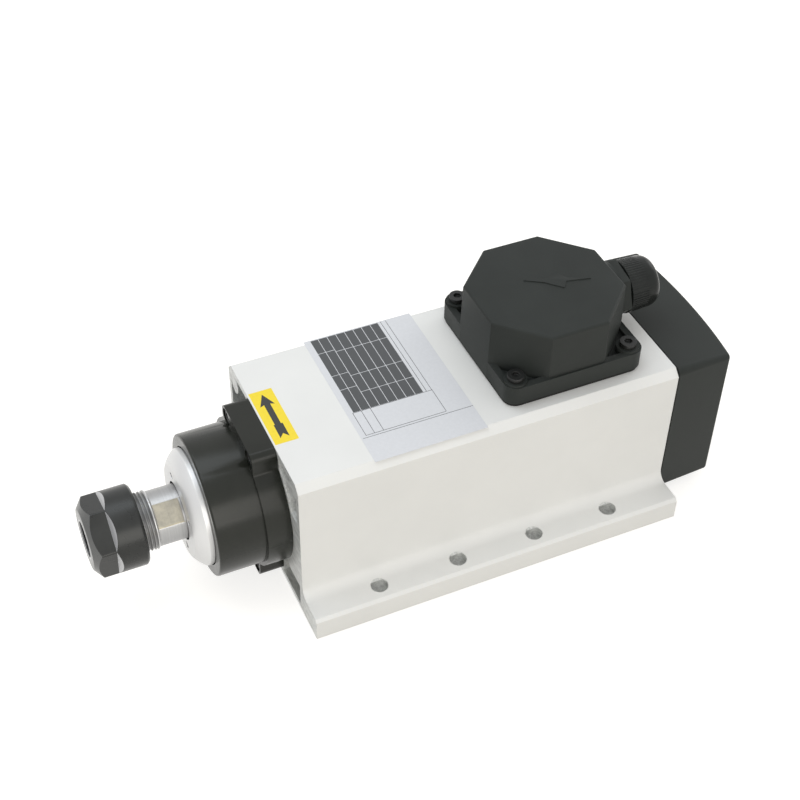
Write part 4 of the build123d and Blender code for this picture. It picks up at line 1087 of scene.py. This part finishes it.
class SPINDLE_OT_plates(Operator):
    """Add the data plate and the arrow sticker"""

    bl_idname = "spindle.plates"
    bl_label = "Plates"

    PLATE = (-38.5, 38.0, -52.0, -3.0)
    ROWS = (-49.2, -45.6, -41.6, -37.6, -33.6, -29.7, -25.8, -21.75, -18.1)
    TABLE = (-38.0, 9.3)
    COLUMNS = (-27.7, -11.6, -0.9)
    FOOT_COLUMNS = (-29.0, -14.0, -5.0)
    HEAD_RULES = (-16.9, -14.6)
    BOX_EDGES = (9.3, 23.0)
    BOX_ROWS = (-49.6, -45.9, -42.0, -14.5)
    SIDE_RULE = (24.2, -51.3, -3.1)
    STICKER = (-17.5, 14.0, -84.2, -74.3)
    ARROW = (
        (-15.2, -79.2), (-8.3, -82.3), (-9.0, -80.5), (3.3, -80.5), (3.3, -81.0), (11.2, -81.0),
        (8.9, -79.1), (11.2, -77.2), (3.3, -77.2), (3.3, -77.9), (-9.0, -77.9), (-8.3, -76.1),
    )

    def execute(self, context):
        plate = context.scene.spindle_plate
        line = plate.line_width / MM
        top = BODY_TOP + plate.thickness
        print_top = top + plate.print_height
        for name, outlines, low, high, finish in (
            ("data_plate", squares([self.PLATE]), BODY_TOP, top, "plate_sheet"),
            ("data_plate_fields", squares(self.fields(line)), top, print_top, "plate_field"),
            ("data_plate_rules", squares(self.rules(0.8 * line)), top, print_top, "plate_field"),
            ("arrow_sticker", squares([self.STICKER]), BODY_TOP, top, "sticker_ground"),
            ("sticker_arrow", [self.ARROW], top, print_top, "sticker_arrow"),
        ):
            printed_piece(name, *flat_pieces(outlines, low, high), finish)
        return {"FINISHED"}

    def fields(self, line):
        """The table's dark fields, with half a line's width left free round each."""
        fields = []
        for k, (low, high) in enumerate(zip(self.ROWS[:-1], self.ROWS[1:])):
            splits = self.FOOT_COLUMNS if k < 2 else self.COLUMNS
            edges = (self.TABLE[0], *splits, self.TABLE[1])
            for left, right in zip(edges[:-1], edges[1:]):
                fields.append((left + line / 2, right - line / 2, low + line / 2, high - line / 2))
        return fields

    def rules(self, thin):
        """The thin rules above and beside the table."""
        left, right = self.BOX_EDGES
        rules = [(*self.TABLE, y, y + thin) for y in self.HEAD_RULES]
        rules += [(left, right, y, y + thin) for y in self.BOX_ROWS]
        rules += [(x, x + thin, self.BOX_ROWS[0], self.BOX_ROWS[-1]) for x in self.BOX_EDGES]
        x, low, high = self.SIDE_RULE
        return [*rules, (x, x + thin, low, high)]

class SPINDLE_PT_panel(Panel):
    """Shows the buttons and the settings that build the motor spindle"""

    bl_idname = "SPINDLE_PT_panel"
    bl_label = "Motor Spindle"
    bl_space_type = "VIEW_3D"
    bl_region_type = "UI"
    bl_category = "Motor Spindle"

    def draw(self, context):
        for operator in OPERATORS:
            self.layout.operator(operator.bl_idname)
        for name, settings in SETTINGS.items():
            box = self.layout.box()
            for key in settings.__annotations__:
                box.prop(getattr(context.scene, name), key)


OPERATORS = (SPINDLE_OT_stage, SPINDLE_OT_castings, SPINDLE_OT_nose, SPINDLE_OT_works, SPINDLE_OT_plates)
CLASSES = (*SETTINGS.values(), *OPERATORS, SPINDLE_PT_panel)


def register():
    for cls in CLASSES:
        bpy.utils.register_class(cls)
    for name, settings in SETTINGS.items():
        setattr(bpy.types.Scene, name, PointerProperty(type=settings))


def unregister():
    for name in SETTINGS:
        delattr(bpy.types.Scene, name)
    for cls in reversed(CLASSES):
        bpy.utils.unregister_class(cls)


def main():
    register()
    bpy.ops.spindle.stage()
    bpy.ops.spindle.castings()
    bpy.ops.spindle.nose()
    bpy.ops.spindle.works()
    bpy.ops.spindle.plates()


if __name__ == "__main__":
    main()
